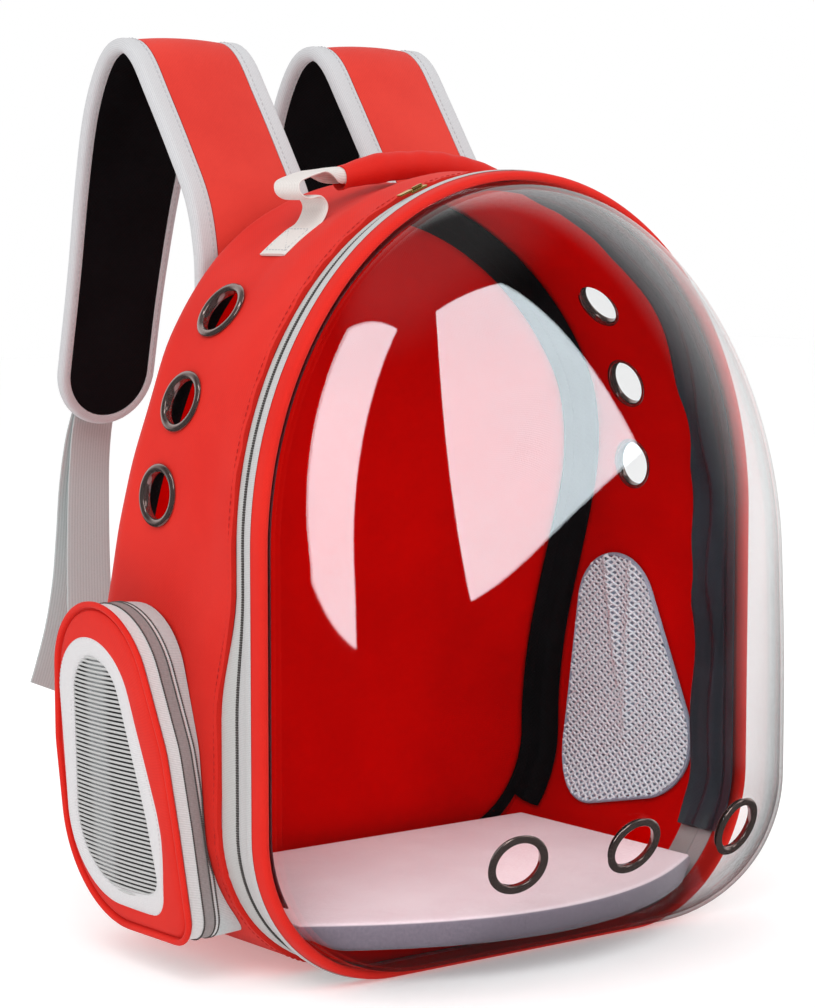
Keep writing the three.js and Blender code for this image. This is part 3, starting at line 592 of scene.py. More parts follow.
gussetPiece = newObject("gussetWall", measuredMesh("gussetWall", gussetGrid(), True, along=gusset["measuredAt"]))
tools = []
for word, side in sides:
    for number, spot in enumerate(eyelets["side"]):
        tools.append(boreTool(f"hole_{word}_{number}", *sidePlace(side, *spot), gusset["boreReach"]))
    window = hullLoop(wallHole, 0, gusset["windowSteps"])
    tools.append(cutterFrom(f"window_{word}", [atWidth(window, side * x) for x in gusset["windowCut"]]))
cutHoles(gussetPiece, tools)
place(gussetPiece, redCloth, "red_cloth", "gusset")
lineInside(gussetPiece)
seam = rimLoop(-gusset["stitchOut"])
edgeSeam = atDepth(seam, shellFront(seam[:, 1]) + gusset["stitchBack"])
stitchRow("gussetStitch", [(edgeSeam, True)], threadSoft, "red_cloth", pitch=3.8, length=2.8, radius=0.3)
print("gusset:", len(gussetPiece.data.polygons), "faces")

# Back panel, with its seam tape inside
backPanel = {"edge": 13.4, "crown": 5.0, "middle": 190.0, "rings": 26, "creaseHeight": 1.1, "crease": (75.0, 5.5),
             "hub": 0.01, "stitchIn": 4.0, "stitchBack": 1.0}


def backGrid():
    edge = rimLoop(backPanel["edge"])
    front, back = [], []
    for share in np.linspace(1, backPanel["hub"], backPanel["rings"]):
        x = edge[:, 0] * share
        z = backPanel["middle"] + (edge[:, 1] - backPanel["middle"]) * share
        y = shellBack(z) + backPanel["crown"] * (1 - share ** 2)
        creases = noiseAt(stackXyz(x, y, z), *backPanel["crease"])
        y = y + (1 - share ** 4) * backPanel["creaseHeight"] * creases
        back.append(stackXyz(x, y, z))
        front.append(stackXyz(x, y - shell["wall"], z))
    return np.array(front[::-1] + back)


backPiece = gridPiece("backPanelCloth", backGrid(), redCloth, "red_cloth", "back_panel", around=backPanel["rings"])
lineInside(backPiece)
seam = rimLoop(backPanel["edge"] + backPanel["stitchIn"])
backSeam = atDepth(seam, shellBack(seam[:, 1]) + backPanel["stitchBack"])
stitchRow("backStitch", [(backSeam, True)], threadRed, "red_cloth", pitch=3.8, length=2.8, radius=0.32)

seamTape = {"profile": ((17.0, 0.0), (17.0, 1.0), (18.5, 1.5), (23.0, 1.5), (25.0, 1.0), (25.0, 0.0)),
            "clear": 1.5, "sway": 0.3, "swaySize": 30.0, "legClear": 2.4, "legThick": 0.8, "legFrom": 90.0,
            "legTo": 12.0, "legRows": 12, "legLowest": 31.0, "legSag": 0.5, "tuck": 18.0}


def ringGrid(section):
    return np.array([atDepth(loop, y) for loop, y in section])


def rimSection(profile):
    return ringGrid([(rimLoop(inset), y) for inset, y in profile])


def seamGrid():
    section = []
    for inset, lift in seamTape["profile"]:
        loop = rimLoop(inset)
        sway = seamTape["sway"] * noiseAt(atDepth(loop, loop[:, 1]), seamTape["swaySize"], inset)
        section.append((loop, shellBack(loop[:, 1]) - shell["wall"] - seamTape["clear"] - lift + sway))
    return ringGrid(section)


def seamLegAndShadeGrid():  # the tape's other half, round the bend and onto the wall, drawn wide and black as painted shade in the corner
    order = [i for i, spot in enumerate(rimLoop()) if spot[1] > seamTape["legLowest"]]
    layers = []
    for clear in (seamTape["legClear"], seamTape["legClear"] + seamTape["legThick"]):
        inside = shell["wall"] + clear
        tucked = rimLoop(seamTape["tuck"])
        layer = [atDepth(tucked, shellBack(tucked[:, 1]) - shell["wall"] - clear)[order]]
        for t in np.radians(np.linspace(seamTape["legFrom"], seamTape["legTo"], seamTape["legRows"])):
            turnIn = gusset["turnIn"] * (1 - math.cos(t))
            along = gusset["bendStart"] + (1 - gusset["bendStart"]) * math.sin(t)
            y = shellY(rimLoop(turnIn)[:, 1], along) - inside * math.sin(t)
            x, z = rimLoop(turnIn + inside * math.cos(t)).T
            layer.append(stackXyz(x, y, z - topSag(z) * seamTape["legSag"])[order])
        layers.append(layer)
    return np.array(layers[0] + layers[1][::-1]).transpose(1, 0, 2)


# partly the binding's other half, partly painted shade in the back corner
gridPiece("backSeamLegAndShade", seamLegAndShadeGrid(), blackCloth, "black_cloth", sharp=60)
gridPiece("backSeamTape", seamGrid(), blackCloth, "black_cloth", "back_seam_binding", ring=True)

# Black satin flap inside the front edge of the gusset, drawn over the zip and pulled into long folds
zipGuard = {"outer": 4.6, "lipInset": 8.0, "lip": (6.5, 12.5), "front": 1.5, "back": 35.0, "lowest": 44.0,
            "thick": 0.9, "rows": 40, "free": (0.2, 0.5), "drift": (150.0, 2.2), "driftFine": (60.0, 7.1),
            "folds": 4.2, "foldWaves": 2.3, "foldDrift": 1.2, "crimp": 1.1, "crimpWaves": 5.0, "crimpDrift": 2.2}


def guardGrid():
    base = rimLoop(zipGuard["outer"])
    order = [i for i in range(len(base)) if base[i][1] > zipGuard["lowest"]]
    run = runOf(base, True)
    flat = atDepth(base[order], 0.0)
    drift = noiseAt(flat, *zipGuard["drift"]) + 0.5 * noiseAt(flat, *zipGuard["driftFine"])
    front, back = [], []
    for t in np.linspace(0, 1, zipGuard["rows"]):
        y = zipGuard["front"] + (zipGuard["back"] - zipGuard["front"]) * t
        lip = (zipGuard["lipInset"] - zipGuard["outer"]) * (1 - float(smoothStep(y, *zipGuard["lip"])))
        free = float(smoothStep(t, *zipGuard["free"]))
        fold = 0.5 + 0.5 * np.sin(fullTurn * (zipGuard["foldWaves"] * t + zipGuard["foldDrift"] * drift))
        crimp = np.sin(fullTurn * (zipGuard["crimpWaves"] * t + zipGuard["crimpDrift"] * drift) + 1.0)
        drawn = zipGuard["folds"] * fold ** 1.5 + zipGuard["crimp"] * (0.5 + 0.5 * crimp)
        inset = zipGuard["outer"] + lip + free * drawn
        for layer, thick in ((front, 0.0), (back, zipGuard["thick"])):
            layer.append(atDepth(np.array([rimLoop(f + thick)[i] for f, i in zip(inset, order)]), y))
    return np.array(front + back[::-1]).transpose(1, 0, 2), run[order[-1]] - run[order[0]]


rows, guardLength = guardGrid()
guardPiece = gridPiece("zipGuardFlap", rows, satinBlack, "black_cloth", "inner_zip_guard", sharp=70)
guardLength / 1000
print("back and flaps made")

# Door frame: a padded red rim, then the zip band behind it
doorFrame = {"profile": (
    (1.3, 11.0), (0.4, 10.4), (0.0, 9.0), (-0.15, 6.0), (-0.1, 3.4), (0.0, 2.0), (0.1, 0.8), (0.3, -0.4), (0.6, -1.3),
    (1.1, -2.1), (1.9, -2.7), (3.0, -3.0), (4.3, -2.4), (4.9, -1.2), (5.0, 1.0), (5.0, 9.4), (4.5, 10.6), (3.4, 11.0))}
gridPiece("doorRim", rimSection(doorFrame["profile"]), rimCloth, "red_cloth", "front_frame", ring=True, sharp=70)

zipBand = {"outer": 2.6, "inner": 4.0, "bow": 0.7, "rows": 9, "start": shell["frontBack"] + shell["gap"],
           "coilShare": 0.42, "coilHalf": 0.6, "coilInset": 2.0, "slit": 0.2, "backGap": 0.4,
           "tooth": {"Pitch": 1.3, "Length": 1.2, "Radius": 0.5},
           "fold": ((0.6, 11.2), (-0.3, 11.1), (-0.8, 10.4), (-0.85, 8.4), (-0.8, 6.6),  # sewn over the rim
                    (-0.4, 6.2), (-0.25, 6.6), (-0.2, 8.0), (0.0, 10.2))}


def zipLine(z):
    return zipBand["start"] + bandWidth(z) * zipBand["coilShare"]


def tapeGrid(front, back):
    shares = np.linspace(0, 1, zipBand["rows"])
    outer = [(t, zipBand["outer"] - zipBand["bow"] * math.sin(math.pi * t) ** 0.7) for t in shares]
    inner = [(t, zipBand["inner"]) for t in shares[::-1]]
    section = []
    for t, inset in outer + inner:
        loop = rimLoop(inset)
        section.append((loop, front(loop[:, 1]) * (1 - t) + back(loop[:, 1]) * t))
    return ringGrid(section)


rows = tapeGrid(lambda z: zipBand["start"] + 0 * z, lambda z: zipLine(z) - zipBand["slit"])
gridPiece("zipTapeDoor", rows, doorCloth, "zip_tape", "zip_tape_door", ring=True)
rows = rimSection(zipBand["fold"])
rows[:, :, 2] = np.maximum(rows[:, :, 2], 0.0)  # pressed flat where the bag stands on it
gridPiece("zipTapeFold", rows, doorCloth, "zip_tape", ring=True)
rows = tapeGrid(lambda z: zipLine(z) + zipBand["slit"], lambda z: shellFront(z) - zipBand["backGap"])
gridPiece("zipTapeShell", rows, zipCloth, "zip_tape", "zip_tape_shell", ring=True)
loop = rimLoop(zipBand["coilInset"])
coilPaths = [(atDepth(loop, zipLine(loop[:, 1]) + hand * zipBand["coilHalf"]), True) for hand in (-1, 1)]
growPiece("zipCoilTeeth", beadRow, coilPaths, "zip_coil", "zip_coil", Material=coilNylon, **zipBand["tooth"])

# Zip slider: a body with a bridge and a pull, each given by its middle and its sizes
zipSlider = {"x": -56.0, "reach": 8.0, "bevel": 0.18,
             "parts": (((0, 0, 1.0), (11.0, 5.6, 1.3)), ((0.5, 0, 2.2), (6.5, 1.6, 1.6)),
                       ((-8.0, 0, 2.0), (9.0, 4.0, 1.0)))}


def boxAround(centre, sizes, spin):
    made = bmesh.new()
    bmesh.ops.create_cube(made, size=1.0)
    bmesh.ops.bevel(made, geom=made.edges[:], offset=zipSlider["bevel"], segments=3, profile=0.6, affect="EDGES")
    for vert in made.verts:
        vert.co = toFrame(centre + spin @ (np.array(vert.co) * sizes))
    mesh = bpy.data.meshes.new("sliderPart")
    made.to_mesh(mesh)
    made.free()
    return mesh


def sliderMesh():
    x, reach = zipSlider["x"], zipSlider["reach"]
    z = float(archZ(x))
    lean = math.atan2(float(archZ(x + reach) - archZ(x - reach)), 2 * reach)
    tilt = np.array([[math.cos(lean), 0, -math.sin(lean)], [0, 1, 0], [math.sin(lean), 0, math.cos(lean)]])
    at = np.array([x, float(zipLine(z)), z])
    boxes = [boxAround(at + tilt @ middle, sizes, tilt) for middle, sizes in zipSlider["parts"]]
    return joinMeshes("zipSliderBody", boxes)


place(newObject("zipSliderBody", sliderMesh()), goldMetal, "gold_slider", "zip_slider")
print("door rim and zip made")

# Bubble
bubble = {"depth": 105.0, "middle": 130.0, "wall": 2.0, "skirt": 6.0, "powerTop": 1.8, "powerSide": 2.2,
          "powerFoot": 1.9, "edge": 5.4, "rings": 40, "lastRing": 0.995, "slopeReach": 8.0, "boreReach": 16,
          "tint": (0.975, 0.978, 0.98, 1.0), "gloss": 0.02, "mirror": 0.055, "edgeMirror": 0.7}


def bubblePower(dx, dz):
    across = np.abs(dx) / np.maximum(1e-9, np.hypot(dx, dz))
    upper = bubble["powerTop"] + (bubble["powerSide"] - bubble["powerTop"]) * across ** 2
    flatEnd = math.sin(math.atan2(shell["halfWidth"] - shell["cornerRadius"], bubble["middle"]))
    lower = bubble["powerFoot"] + (bubble["powerSide"] - bubble["powerFoot"]) * smoothStep(across, flatEnd, 1)
    return np.where(dz > 0, upper, lower)


def bubbleRings(inset, depth):
    x, z = rimLoop(inset).T
    dz = z - bubble["middle"]
    power = bubblePower(x, dz)
    rings = [stackXyz(x, bubble["skirt"], z)]
    for share in np.cos(np.linspace(0, bubble["lastRing"], bubble["rings"]) * quarterTurn):
        y = -depth * (1 - share ** power) ** (1 / power)
        rings.append(stackXyz(x * share, y, bubble["middle"] + dz * share))
    return rings


def bubbleY(x, z):
    edge = rimLoop(bubble["edge"]) - (0, bubble["middle"])
    dz = z - bubble["middle"]
    angle = np.arctan2(edge[:, 0], edge[:, 1])
    order = np.argsort(angle)
    far = np.interp(math.atan2(x, dz), angle[order], np.hypot(*edge.T)[order], period=fullTurn)
    share = min(1.0, math.hypot(x, dz) / far)
    power = float(bubblePower(x, dz))
    return -bubble["depth"] * (1 - share ** power) ** (1 / power)


def bubblePlace(x, z):
    reach = bubble["slopeReach"]
    slopeX = (bubbleY(x + reach, z) - bubbleY(x - reach, z)) / (2 * reach)
    slopeZ = (bubbleY(x, z + reach) - bubbleY(x, z - reach)) / (2 * reach)
    out = np.array([slopeX, -1, slopeZ])
    return np.array([x, bubbleY(x, z), z]), out / np.linalg.norm(out)


def clearPlastic():
    clear = Finish("clearBubble")
    rim = clear.node("ShaderNodeLayerWeight", None, {"Blend": 0.5}, "Facing")
    smear = clear.noise(clear.coords(), 9.0)
    through = clear.node("ShaderNodeBsdfTransparent", None, {"Color": bubble["tint"]})
    gloss = clear.node("ShaderNodeBsdfGlossy", None, {"Color": (1.0, 1.0, 1.0, 1.0), "Roughness": bubble["gloss"]})
    mirror = rim ** 4 * bubble["edgeMirror"] + bubble["mirror"] + smear * 0.02
    both = clear.node("ShaderNodeMixShader", None, {0: mirror, 1: through, 2: gloss})
    clear.tree.links.new(both.socket, clear.tree.nodes["Material Output"].inputs["Surface"])
    return clear.material


rows = bubbleRings(bubble["edge"] + bubble["wall"], bubble["depth"] - bubble["wall"])[::-1]
rows += bubbleRings(bubble["edge"], bubble["depth"])
bubblePiece = newObject("bubbleShell", gridMesh("bubbleShell", rows))
tools = [boreTool(f"vent_{x:.0f}", *bubblePlace(x, z), bubble["boreReach"]) for x, z in eyelets["dome"]]
cutHoles(bubblePiece, tools)
place(bubblePiece, clearPlastic(), "clear_dome", "dome")
print("bubble made")


# Eyelets: rolled flange outside, barrel, washer inside
def eyeletPiece(name, at, out, wall, node):
    flange, bore, washer, barrel = (eyelets[key] for key in ("flange", "bore", "washer", "barrel"))
    edge = eyelets["round"]
    middle, half = (flange + bore) / 2, (flange - bore) / 2
    low = -wall - eyelets["inside"]
    high = low + eyelets["washerThick"]
    profile = [(middle + half * math.cos(a), edge + (eyelets["proud"] - edge) * math.sin(a))
               for a in np.linspace(0, math.pi, eyelets["flangeSteps"])]
    profile += [(bore + 0.5, low + edge), (bore + 0.9, low), (washer - edge, low), (washer, low + edge),
                (washer, high), (barrel, high + 0.1), (barrel, edge)]
    ring = newObject(name, gridMesh(name, [circleRound(at, out, r, h) for r, h in profile], True))
    place(ring, gunmetal, "gunmetal", node, sharp=50)


for word, side in sides:
    for number, spot in enumerate(eyelets["side"], 1):
        eyeletPiece(f"sideEyelet_{word}_{number}", *sidePlace(side, *spot), shell["wall"],
                    f"side_grommet_{word}_{number}")
for number, spot in enumerate(eyelets["dome"], 1):
    eyeletPiece(f"bubbleEyelet_{number}", *bubblePlace(*spot), bubble["wall"], f"dome_grommet_{number}")
print("eyelets made")

# Floor: covered board and soft pad, the pad's edge painted grey as shade
floorBoard = {"bottom": 4.6, "top": 25.0, "front": 14.0, "back": 152.0, "side": 6.0, "rows": 9, "round": 2.0,
              "narrowest": 85.0, "lowest": 6.5, "clear": 1.5, "across": 16, "deep": 12}
floorPad = {"bottom": 25.6, "top": 34.0, "bulge": 40.0, "back": 160.0, "side": 9.0, "crown": 1.6, "rings": 16,
            "drop": 6.5, "dropTo": 11.0, "dropFrom": (0.75, 0.95), "corner": 11.0, "middleY": 66.0, "hub": 0.02,
            "cutAt": 30.0, "edgeShare": 0.965, "edgeRows": 13, "creaseHeight": 0.7, "crease": (55.0, 4.4),
            "edgeTop": (0.0322, 0.0333)}


def boardGrid():
    middle = (floorBoard["top"] + floorBoard["bottom"]) / 2
    high = (floorBoard["top"] - floorBoard["bottom"]) / 2
    rows = []
    for z in np.linspace(floorBoard["bottom"], floorBoard["top"], floorBoard["rows"]):
        side = float(sideX(max(z, floorBoard["lowest"]), floorBoard["side"])) - floorBoard["clear"]
        soft = floorBoard["round"] * abs((z - middle) / high) ** 6
        x = max(floorBoard["narrowest"], side) - soft
        front, back = floorBoard["front"] + soft, floorBoard["back"] - soft
        corners = ((-x, front, z), (x, front, z), (x, back, z), (-x, back, z))
        row = []
        for a, b, count in zip(corners, corners[1:] + corners[:1], (floorBoard["across"], floorBoard["deep"]) * 2):
            row += list(np.linspace(a, b, count, endpoint=False))
        rows.append(row)
    return np.array(rows)


gridPiece("floorBoard", boardGrid(), cabinRed, "cabin_red", "base_board", around=4)


def padOutline():
    half = float(sideX(floorPad["cutAt"], floorPad["side"]))
    corner, end = floorPad["corner"], floorPad["back"]
    front = [(a * half, -floorPad["bulge"] * (1 - a * a) + corner * a * a) for a in np.linspace(-1, 1, 61)]
    right = [(half, y) for y in np.linspace(corner, end, 26)[1:]]
    back = [(x, end) for x in np.linspace(half, -half, 41)[1:]]
    left = [(-half, y) for y in np.linspace(end, corner, 26)[1:-1]]
    return np.array(front + right + back + left)


def padGrid():
    outline, centre = padOutline(), np.array([0.0, floorPad["middleY"]])
    bottom, top, wide = floorPad["bottom"], floorPad["top"], floorPad["edgeShare"]
    rows = []

    def scaled(share):
        return (centre + (outline - centre) * share).T

    def droop(y, share):  # the front lip hangs lower than the board it rests on
        return floorPad["drop"] * (1 - smoothStep(y, 0, floorPad["dropTo"])) * smoothStep(share, *floorPad["dropFrom"])

    for share in np.linspace(floorPad["hub"], wide, floorPad["rings"]):
        x, y = scaled(share)
        rows.append(stackXyz(x, y, bottom - droop(y, share)))
    for t in np.linspace(-quarterTurn, quarterTurn, floorPad["edgeRows"])[1:-1]:
        high = math.copysign(abs(math.sin(t)) ** 0.7, math.sin(t))
        x, y = scaled(wide + (1 - wide) * math.cos(t) ** 0.6)
        rows.append(stackXyz(x, y, (bottom + top) / 2 + (top - bottom) / 2 * high - droop(y, 1) * (1 - high) / 2))
    for share in np.linspace(0.97, floorPad["hub"], floorPad["rings"]):
        x, y = scaled(share)
        creases = (1 - share ** 6) * noiseAt(stackXyz(x, y, 0), *floorPad["crease"])
        rows.append(stackXyz(x, y, top + floorPad["crown"] * (1 - share ** 2) + floorPad["creaseHeight"] * creases))
    return np.array(rows)


def padCloth():
    cloth = Finish("padCloth", Specular_IOR_Level=0.2, Sheen_Weight=0.4)
    spot = cloth.coords()
    fluff, wide = cloth.noise(spot, 620.0), cloth.noise(spot, 22.0)
    top = cloth.blend((fluff * 0.5 + wide * 0.5).between(0.3, 0.7), paint(238, 214, 221), paint(250, 234, 239))
    # painted shade: the pad's side below edgeTop is coloured dark grey, the top stays pale
    edge = cloth.blend(fluff, paint(110, 101, 113), paint(138, 127, 140))
    cloth.feed("Base Color", cloth.blend(cloth.part(spot, "Z").between(*floorPad["edgeTop"]), edge, top))
    cloth.feed("Roughness", 0.85 + fluff * 0.1)
    cloth.bump(fluff, 0.25, 0.0007)
    return cloth.material


padPiece = gridPiece("floorPad", padGrid(), padCloth(), "pad_cloth", "floor_pad", around=20)
print("floor made")

# Side pods: zipped gusset, piped red face, grey trim and a ribbed net
pod = {
    "outline": ((108.0, 150.0, 46.0), (105.0, 112.0, 55.0), (103.0, 77.0, 57.0), (58.0, 36.0, 15.5)),
    "trim": ((116.0, 142.0, 35.0), (108.0, 78.0, 46.0), (77.0, 45.0, 13.0)),
    "window": ((114.0, 142.0, 23.0), (110.0, 78.0, 35.0), (81.0, 55.0, 11.0)),
    "faceAtFloor": 179.0, "lean": 0.1, "thick": 2.5, "count": 140, "faceGap": 0.2, "wallGap": 0.4,
    "gussetOut": -2.6, "gussetIn": -4.6, "gussetBulge": 0.8, "outRows": 19, "inRows": 7,
    "tooth": {"Pitch": 1.2, "Length": 1.3, "Radius": 0.5}, "toothLines": (7.0, 13.6, 16.0), "toothOut": -1.75,
    "toothSteps": 220, "toothClear": 0.8, "lastTooth": 16.5, "toothSpread": 0.2,
    "piping": 1.7, "pipingTurn": (-0.35 * math.pi, 1.05 * math.pi), "pipingRows": 12, "pipingLift": 0.2,
    "groove": ((-3.7, -1.3), (-4.3, -1.1), (-5.0, 0.1)), "faceOut": (-6.2, 0.6), "faceIn": (-3.0, 0.2),
    "faceRows": 8, "faceCrown": 0.8, "faceCrease": 0.5, "crease": (26.0, 6.6), "tuck": -3.0,
    "trimRows": 10, "trimLift": 0.3, "trimCrown": 1.9, "trimBack": -0.2, "windowBack": -0.6,
    "netGrow": 3.2, "netSteps": 240, "ribPitch": 2.35, "ribRadius": 0.72, "ribFrom": 1.2, "ribTo": 0.8,
    "ribMiddle": 104.0, "ribPoints": 15, "ribIn": 0.6, "netBulge": 2.2,
    "backMiddle": (107.0, 105.0), "backIn": 2.1, "backBulge": 1.8, "backThick": 0.5,
    "backRings": (0.02, 0.25, 0.5, 0.75, 1), "stripes": ((7.0, 7.3), (13.5, 13.8), (15.9, 16.2)),
    "measuredAt": 9, "trimSeam": (-1.4, 1.3), "windowSeam": (1.6, 1.3),
}


def podX(z):
    return pod["faceAtFloor"] + pod["lean"] * np.asarray(z, float)


def podInner(z):
    return podX(z) - pod["thick"] - pod["faceGap"]


def podWall(y, z):
    share = (np.asarray(y, float) - shellFront(z)) / (shellBack(z) - shellFront(z))
    return sideX(z) - gusset["turnIn"] * smoothStep(share, gusset["bendStart"], 1.0) ** 2 + pod["wallGap"]


def podReach(loop):
    return podInner(loop[:, 1]) - podWall(*loop.T)


def podLoop(outline, grow, lift):
    loop = hullLoop(pod[outline], grow, pod["count"])
    return atWidth(loop, podX(loop[:, 1]) + lift)


def podGussetRows():
    rows, shares = [], []
    for grow, bulge, steps in ((pod["gussetOut"], pod["gussetBulge"], np.linspace(0, 1, pod["outRows"])),
                               (pod["gussetIn"], 0.0, np.linspace(1, 0, pod["inRows"]))):
        loop = hullLoop(pod["outline"], grow, pod["count"])
        ray = loop - loop.mean(axis=0)
        ray = ray / np.linalg.norm(ray, axis=1, keepdims=True)
        near, far = podWall(*loop.T), podInner(loop[:, 1])
        rows += [atWidth(loop + ray * (bulge * math.sin(math.pi * t)), near * (1 - t) + far * t) for t in steps]
        shares += list(steps)
    depth = podReach(hullLoop(pod["outline"], pod["gussetOut"], pod["count"]))
    return np.array(rows), (1 - np.array(shares))[:, None] * depth


def podFaceRows():
    piping = pod["piping"]
    section = [podLoop("outline", -piping + piping * math.cos(t), pod["pipingLift"] + piping * math.sin(t))
               for t in np.linspace(*pod["pipingTurn"], pod["pipingRows"])]
    section += [podLoop("outline", *spot) for spot in pod["groove"]]
    outerLoop, innerLoop = podLoop("outline", *pod["faceOut"]), podLoop("trim", *pod["faceIn"])
    for t in np.linspace(0, 1, pod["faceRows"]):
        spots = outerLoop * (1 - t) + innerLoop * t
        crown = pod["faceCrown"] + pod["faceCrease"] * noiseAt(spots, *pod["crease"])
        section.append(spots + stackXyz(crown * math.sin(math.pi * t), 0, 0))
    section += [podLoop(outline, pod["tuck"], -pod["thick"]) for outline in ("trim", "outline")]
    return np.array(section)


def podTrimRows():
    outer, inner = podLoop("trim", 0.0, pod["trimLift"]), podLoop("window", 0.0, pod["trimLift"])
    section = [outer * (1 - t) + inner * t + (pod["trimCrown"] * math.sin(math.pi * t) ** 0.45, 0, 0)
               for t in np.linspace(0, 1, pod["trimRows"])]
    return np.array(section + [podLoop("window", 0.0, pod["windowBack"]), podLoop("trim", 0.0, pod["trimBack"])])


def podRibPaths(edge, side):
    paths = []
    front, back = edge[edge[:, 0] < pod["ribMiddle"]], edge[edge[:, 0] >= pod["ribMiddle"]]
    for z in np.arange(edge[:, 1].min() + pod["ribFrom"], edge[:, 1].max() - pod["ribTo"], pod["ribPitch"]):
        ends = [np.interp(z, *zip(*sorted(zip(half[:, 1], half[:, 0])))) for half in (front, back)]
        ys = np.linspace(*ends, pod["ribPoints"])
        bulge = pod["netBulge"] * (1 - ((ys - ys.mean()) / (np.ptp(ys) / 2 + 1e-6)) ** 2)
        paths.append((stackXyz(side * (podX(z) - pod["ribIn"] + bulge), ys, z), False))
    return paths


def podBackRows(edge, side):
    middle = np.array(pod["backMiddle"])
    layer = []
    for share in pod["backRings"]:
        loop = middle + (edge - middle) * share
        layer.append(atWidth(loop, side * (podX(loop[:, 1]) - pod["backIn"] + pod["backBulge"] * (1 - share ** 2))))
    return np.array(layer + [rows - (side * pod["backThick"], 0, 0) for rows in layer[::-1]])


# The sheet behind the pod net ribs is painted dark as the shade inside the pod, with a painted pale highlight that runs
# up the net.
def podNetShadeAndGleam():
    cloth = Finish("podBack", Specular_IOR_Level=0.2)
    spot = cloth.coords()
    sway = cloth.noise(spot, 14.0, 2.0) - 0.5
    y, z = cloth.part(spot, "Y"), cloth.part(spot, "Z")
    middle = y - 0.032 + (z - 0.1) * 0.1 + sway * 0.008  # a pale gleam that runs up the net
    gleam = 1 - middle.size().between(0.005, 0.014)
    speck = cloth.noise(spot, 300.0, 2.0)
    # painted shade in the dark colour, painted highlight in the pale one
    cloth.feed("Base Color", cloth.blend(gleam * (0.75 + speck * 0.3), paint(52, 50, 52), paint(206, 209, 211)))
    cloth.feed("Roughness", 0.6 + speck * 0.2)
    return cloth.material


def podTapeCloth():
    tape = Finish("podTape", Specular_IOR_Level=0.2, Sheen_Weight=0.05)
    uv = tape.coords("UV")
    reach = tape.part(uv, "Y") * perMetre  # millimetres in from the face
    rib = tape.ribs(tape.part(uv, "X"), 0.9).size()
    speck = tape.noise(uv, 700.0, 2.0)
    mottle = (rib * 0.5 + speck * 0.5).between(0.2, 0.9)
    pale = tape.blend(mottle, paint(200, 200, 200), paint(226, 226, 226))
    taupe = tape.blend(speck, paint(132, 126, 126), paint(164, 157, 156))
    wallSide = tape.blend(mottle, paint(178, 188, 189), paint(204, 214, 214))
    colour = pale
    for stripe, inner in zip(pod["stripes"], (taupe, pale, wallSide)):
        colour = tape.blend(reach.between(*stripe), colour, inner)
    tape.feed("Base Color", colour)
    tape.feed("Roughness", 0.75 + speck * 0.15)
    tape.bump(rib, 0.2, 0.0005)
    return tape.material


podBack, podTape = podNetShadeAndGleam(), podTapeCloth()
for word, side in sides:
    mirror = (side, 1, 1)
    rows, runs = podGussetRows()
    rows = rows * mirror
    mesh = gridMesh(f"podGusset_{word}", rows, True, runOf(rows[pod["measuredAt"]], True), runs)
    place(newObject(f"podGusset_{word}", mesh), podTape, "zip_tape", f"pod_gusset_{word}")

    loop = hullLoop(pod["outline"], pod["toothOut"], pod["toothSteps"])
    paths = []
    for reach in pod["toothLines"]:
        most = podReach(loop) - pod["toothClear"] - (pod["lastTooth"] - reach) * pod["toothSpread"]
        paths.append((atWidth(loop, side * (podInner(loop[:, 1]) - np.minimum(reach, most))), True))
    growPiece(f"podZipTeeth_{word}", beadRow, paths, "zip_coil", f"pod_zip_coil_{word}",
              Material=coilNylon, **pod["tooth"])

    gridPiece(f"podFace_{word}", podFaceRows() * mirror, redCloth, "red_cloth", f"pod_face_{word}", ring=True, around=3)
    gridPiece(f"podTrim_{word}", podTrimRows() * mirror, trimTape, "grey_binding", f"pod_trim_{word}", ring=True)

    edge = hullLoop(pod["window"], pod["netGrow"], pod["netSteps"])
    net = growPiece(f"podRibs_{word}", strandNet, podRibPaths(edge, side), "white_net", f"pod_mesh_{word}",
                    Radius=pod["ribRadius"], Sides=6, Material=netGrey)
    # sheet carrying the painted shade of the pod's inside and the painted highlight of the net
    sheet = newObject(f"podNetBack_{word}", gridMesh(f"podNetBack_{word}", podBackRows(edge, side)))
    place(sheet, podBack, "white_net")
    seams = [(podLoop(outline, *pod[outline + "Seam"]) * mirror, True) for outline in ("trim", "window")]
    stitchRow(f"podStitch_{word}", seams, threadGrey, "grey_binding", pitch=2.6, length=1.9, radius=0.26)
print("pods made")

# Net windows in the side walls
wallNet = {"inset": 5.3, "pitch": 3.3, "radius": 0.78, "grow": 6.5, "slant": 0.62, "wave": 0.55, "edgeSteps": 200,
           "span": 110, "half": 130, "step": 2.0, "fewest": 3,
           "welt": ((7.4, 4.0), (7.2, 5.4), (6.2, 6.2), (5.2, 5.4), (5.0, 4.0)), "weltSteps": 140,
           "backGrow": 4.6, "backInset": 4.3, "backThick": 0.3, "backRings": (0.02, *np.linspace(0.06, 1, 26)),
           "foldHeight": 2.6, "foldTop": 162,  # each fold: start, slope, width, heights where it grows, share
           "folds": ((108, 0.16, 3.2, (90, 150), 1.0), (92, -0.05, 3.6, (60, 110), 0.8))}


def netFold(y, z):  # two soft creases that fall from the top corner
    total = 0
    for start, slope, wide, grows, share in wallNet["folds"]:
        off = (y - start + (wallNet["foldTop"] - z) * slope) / wide
        total = total + share * np.exp(-off ** 2) * smoothStep(z, *grows)
    return wallNet["foldHeight"] * total


def onWall(loop, side, inset):
    return atWidth(loop, side * sideX(loop[:, 1], inset))


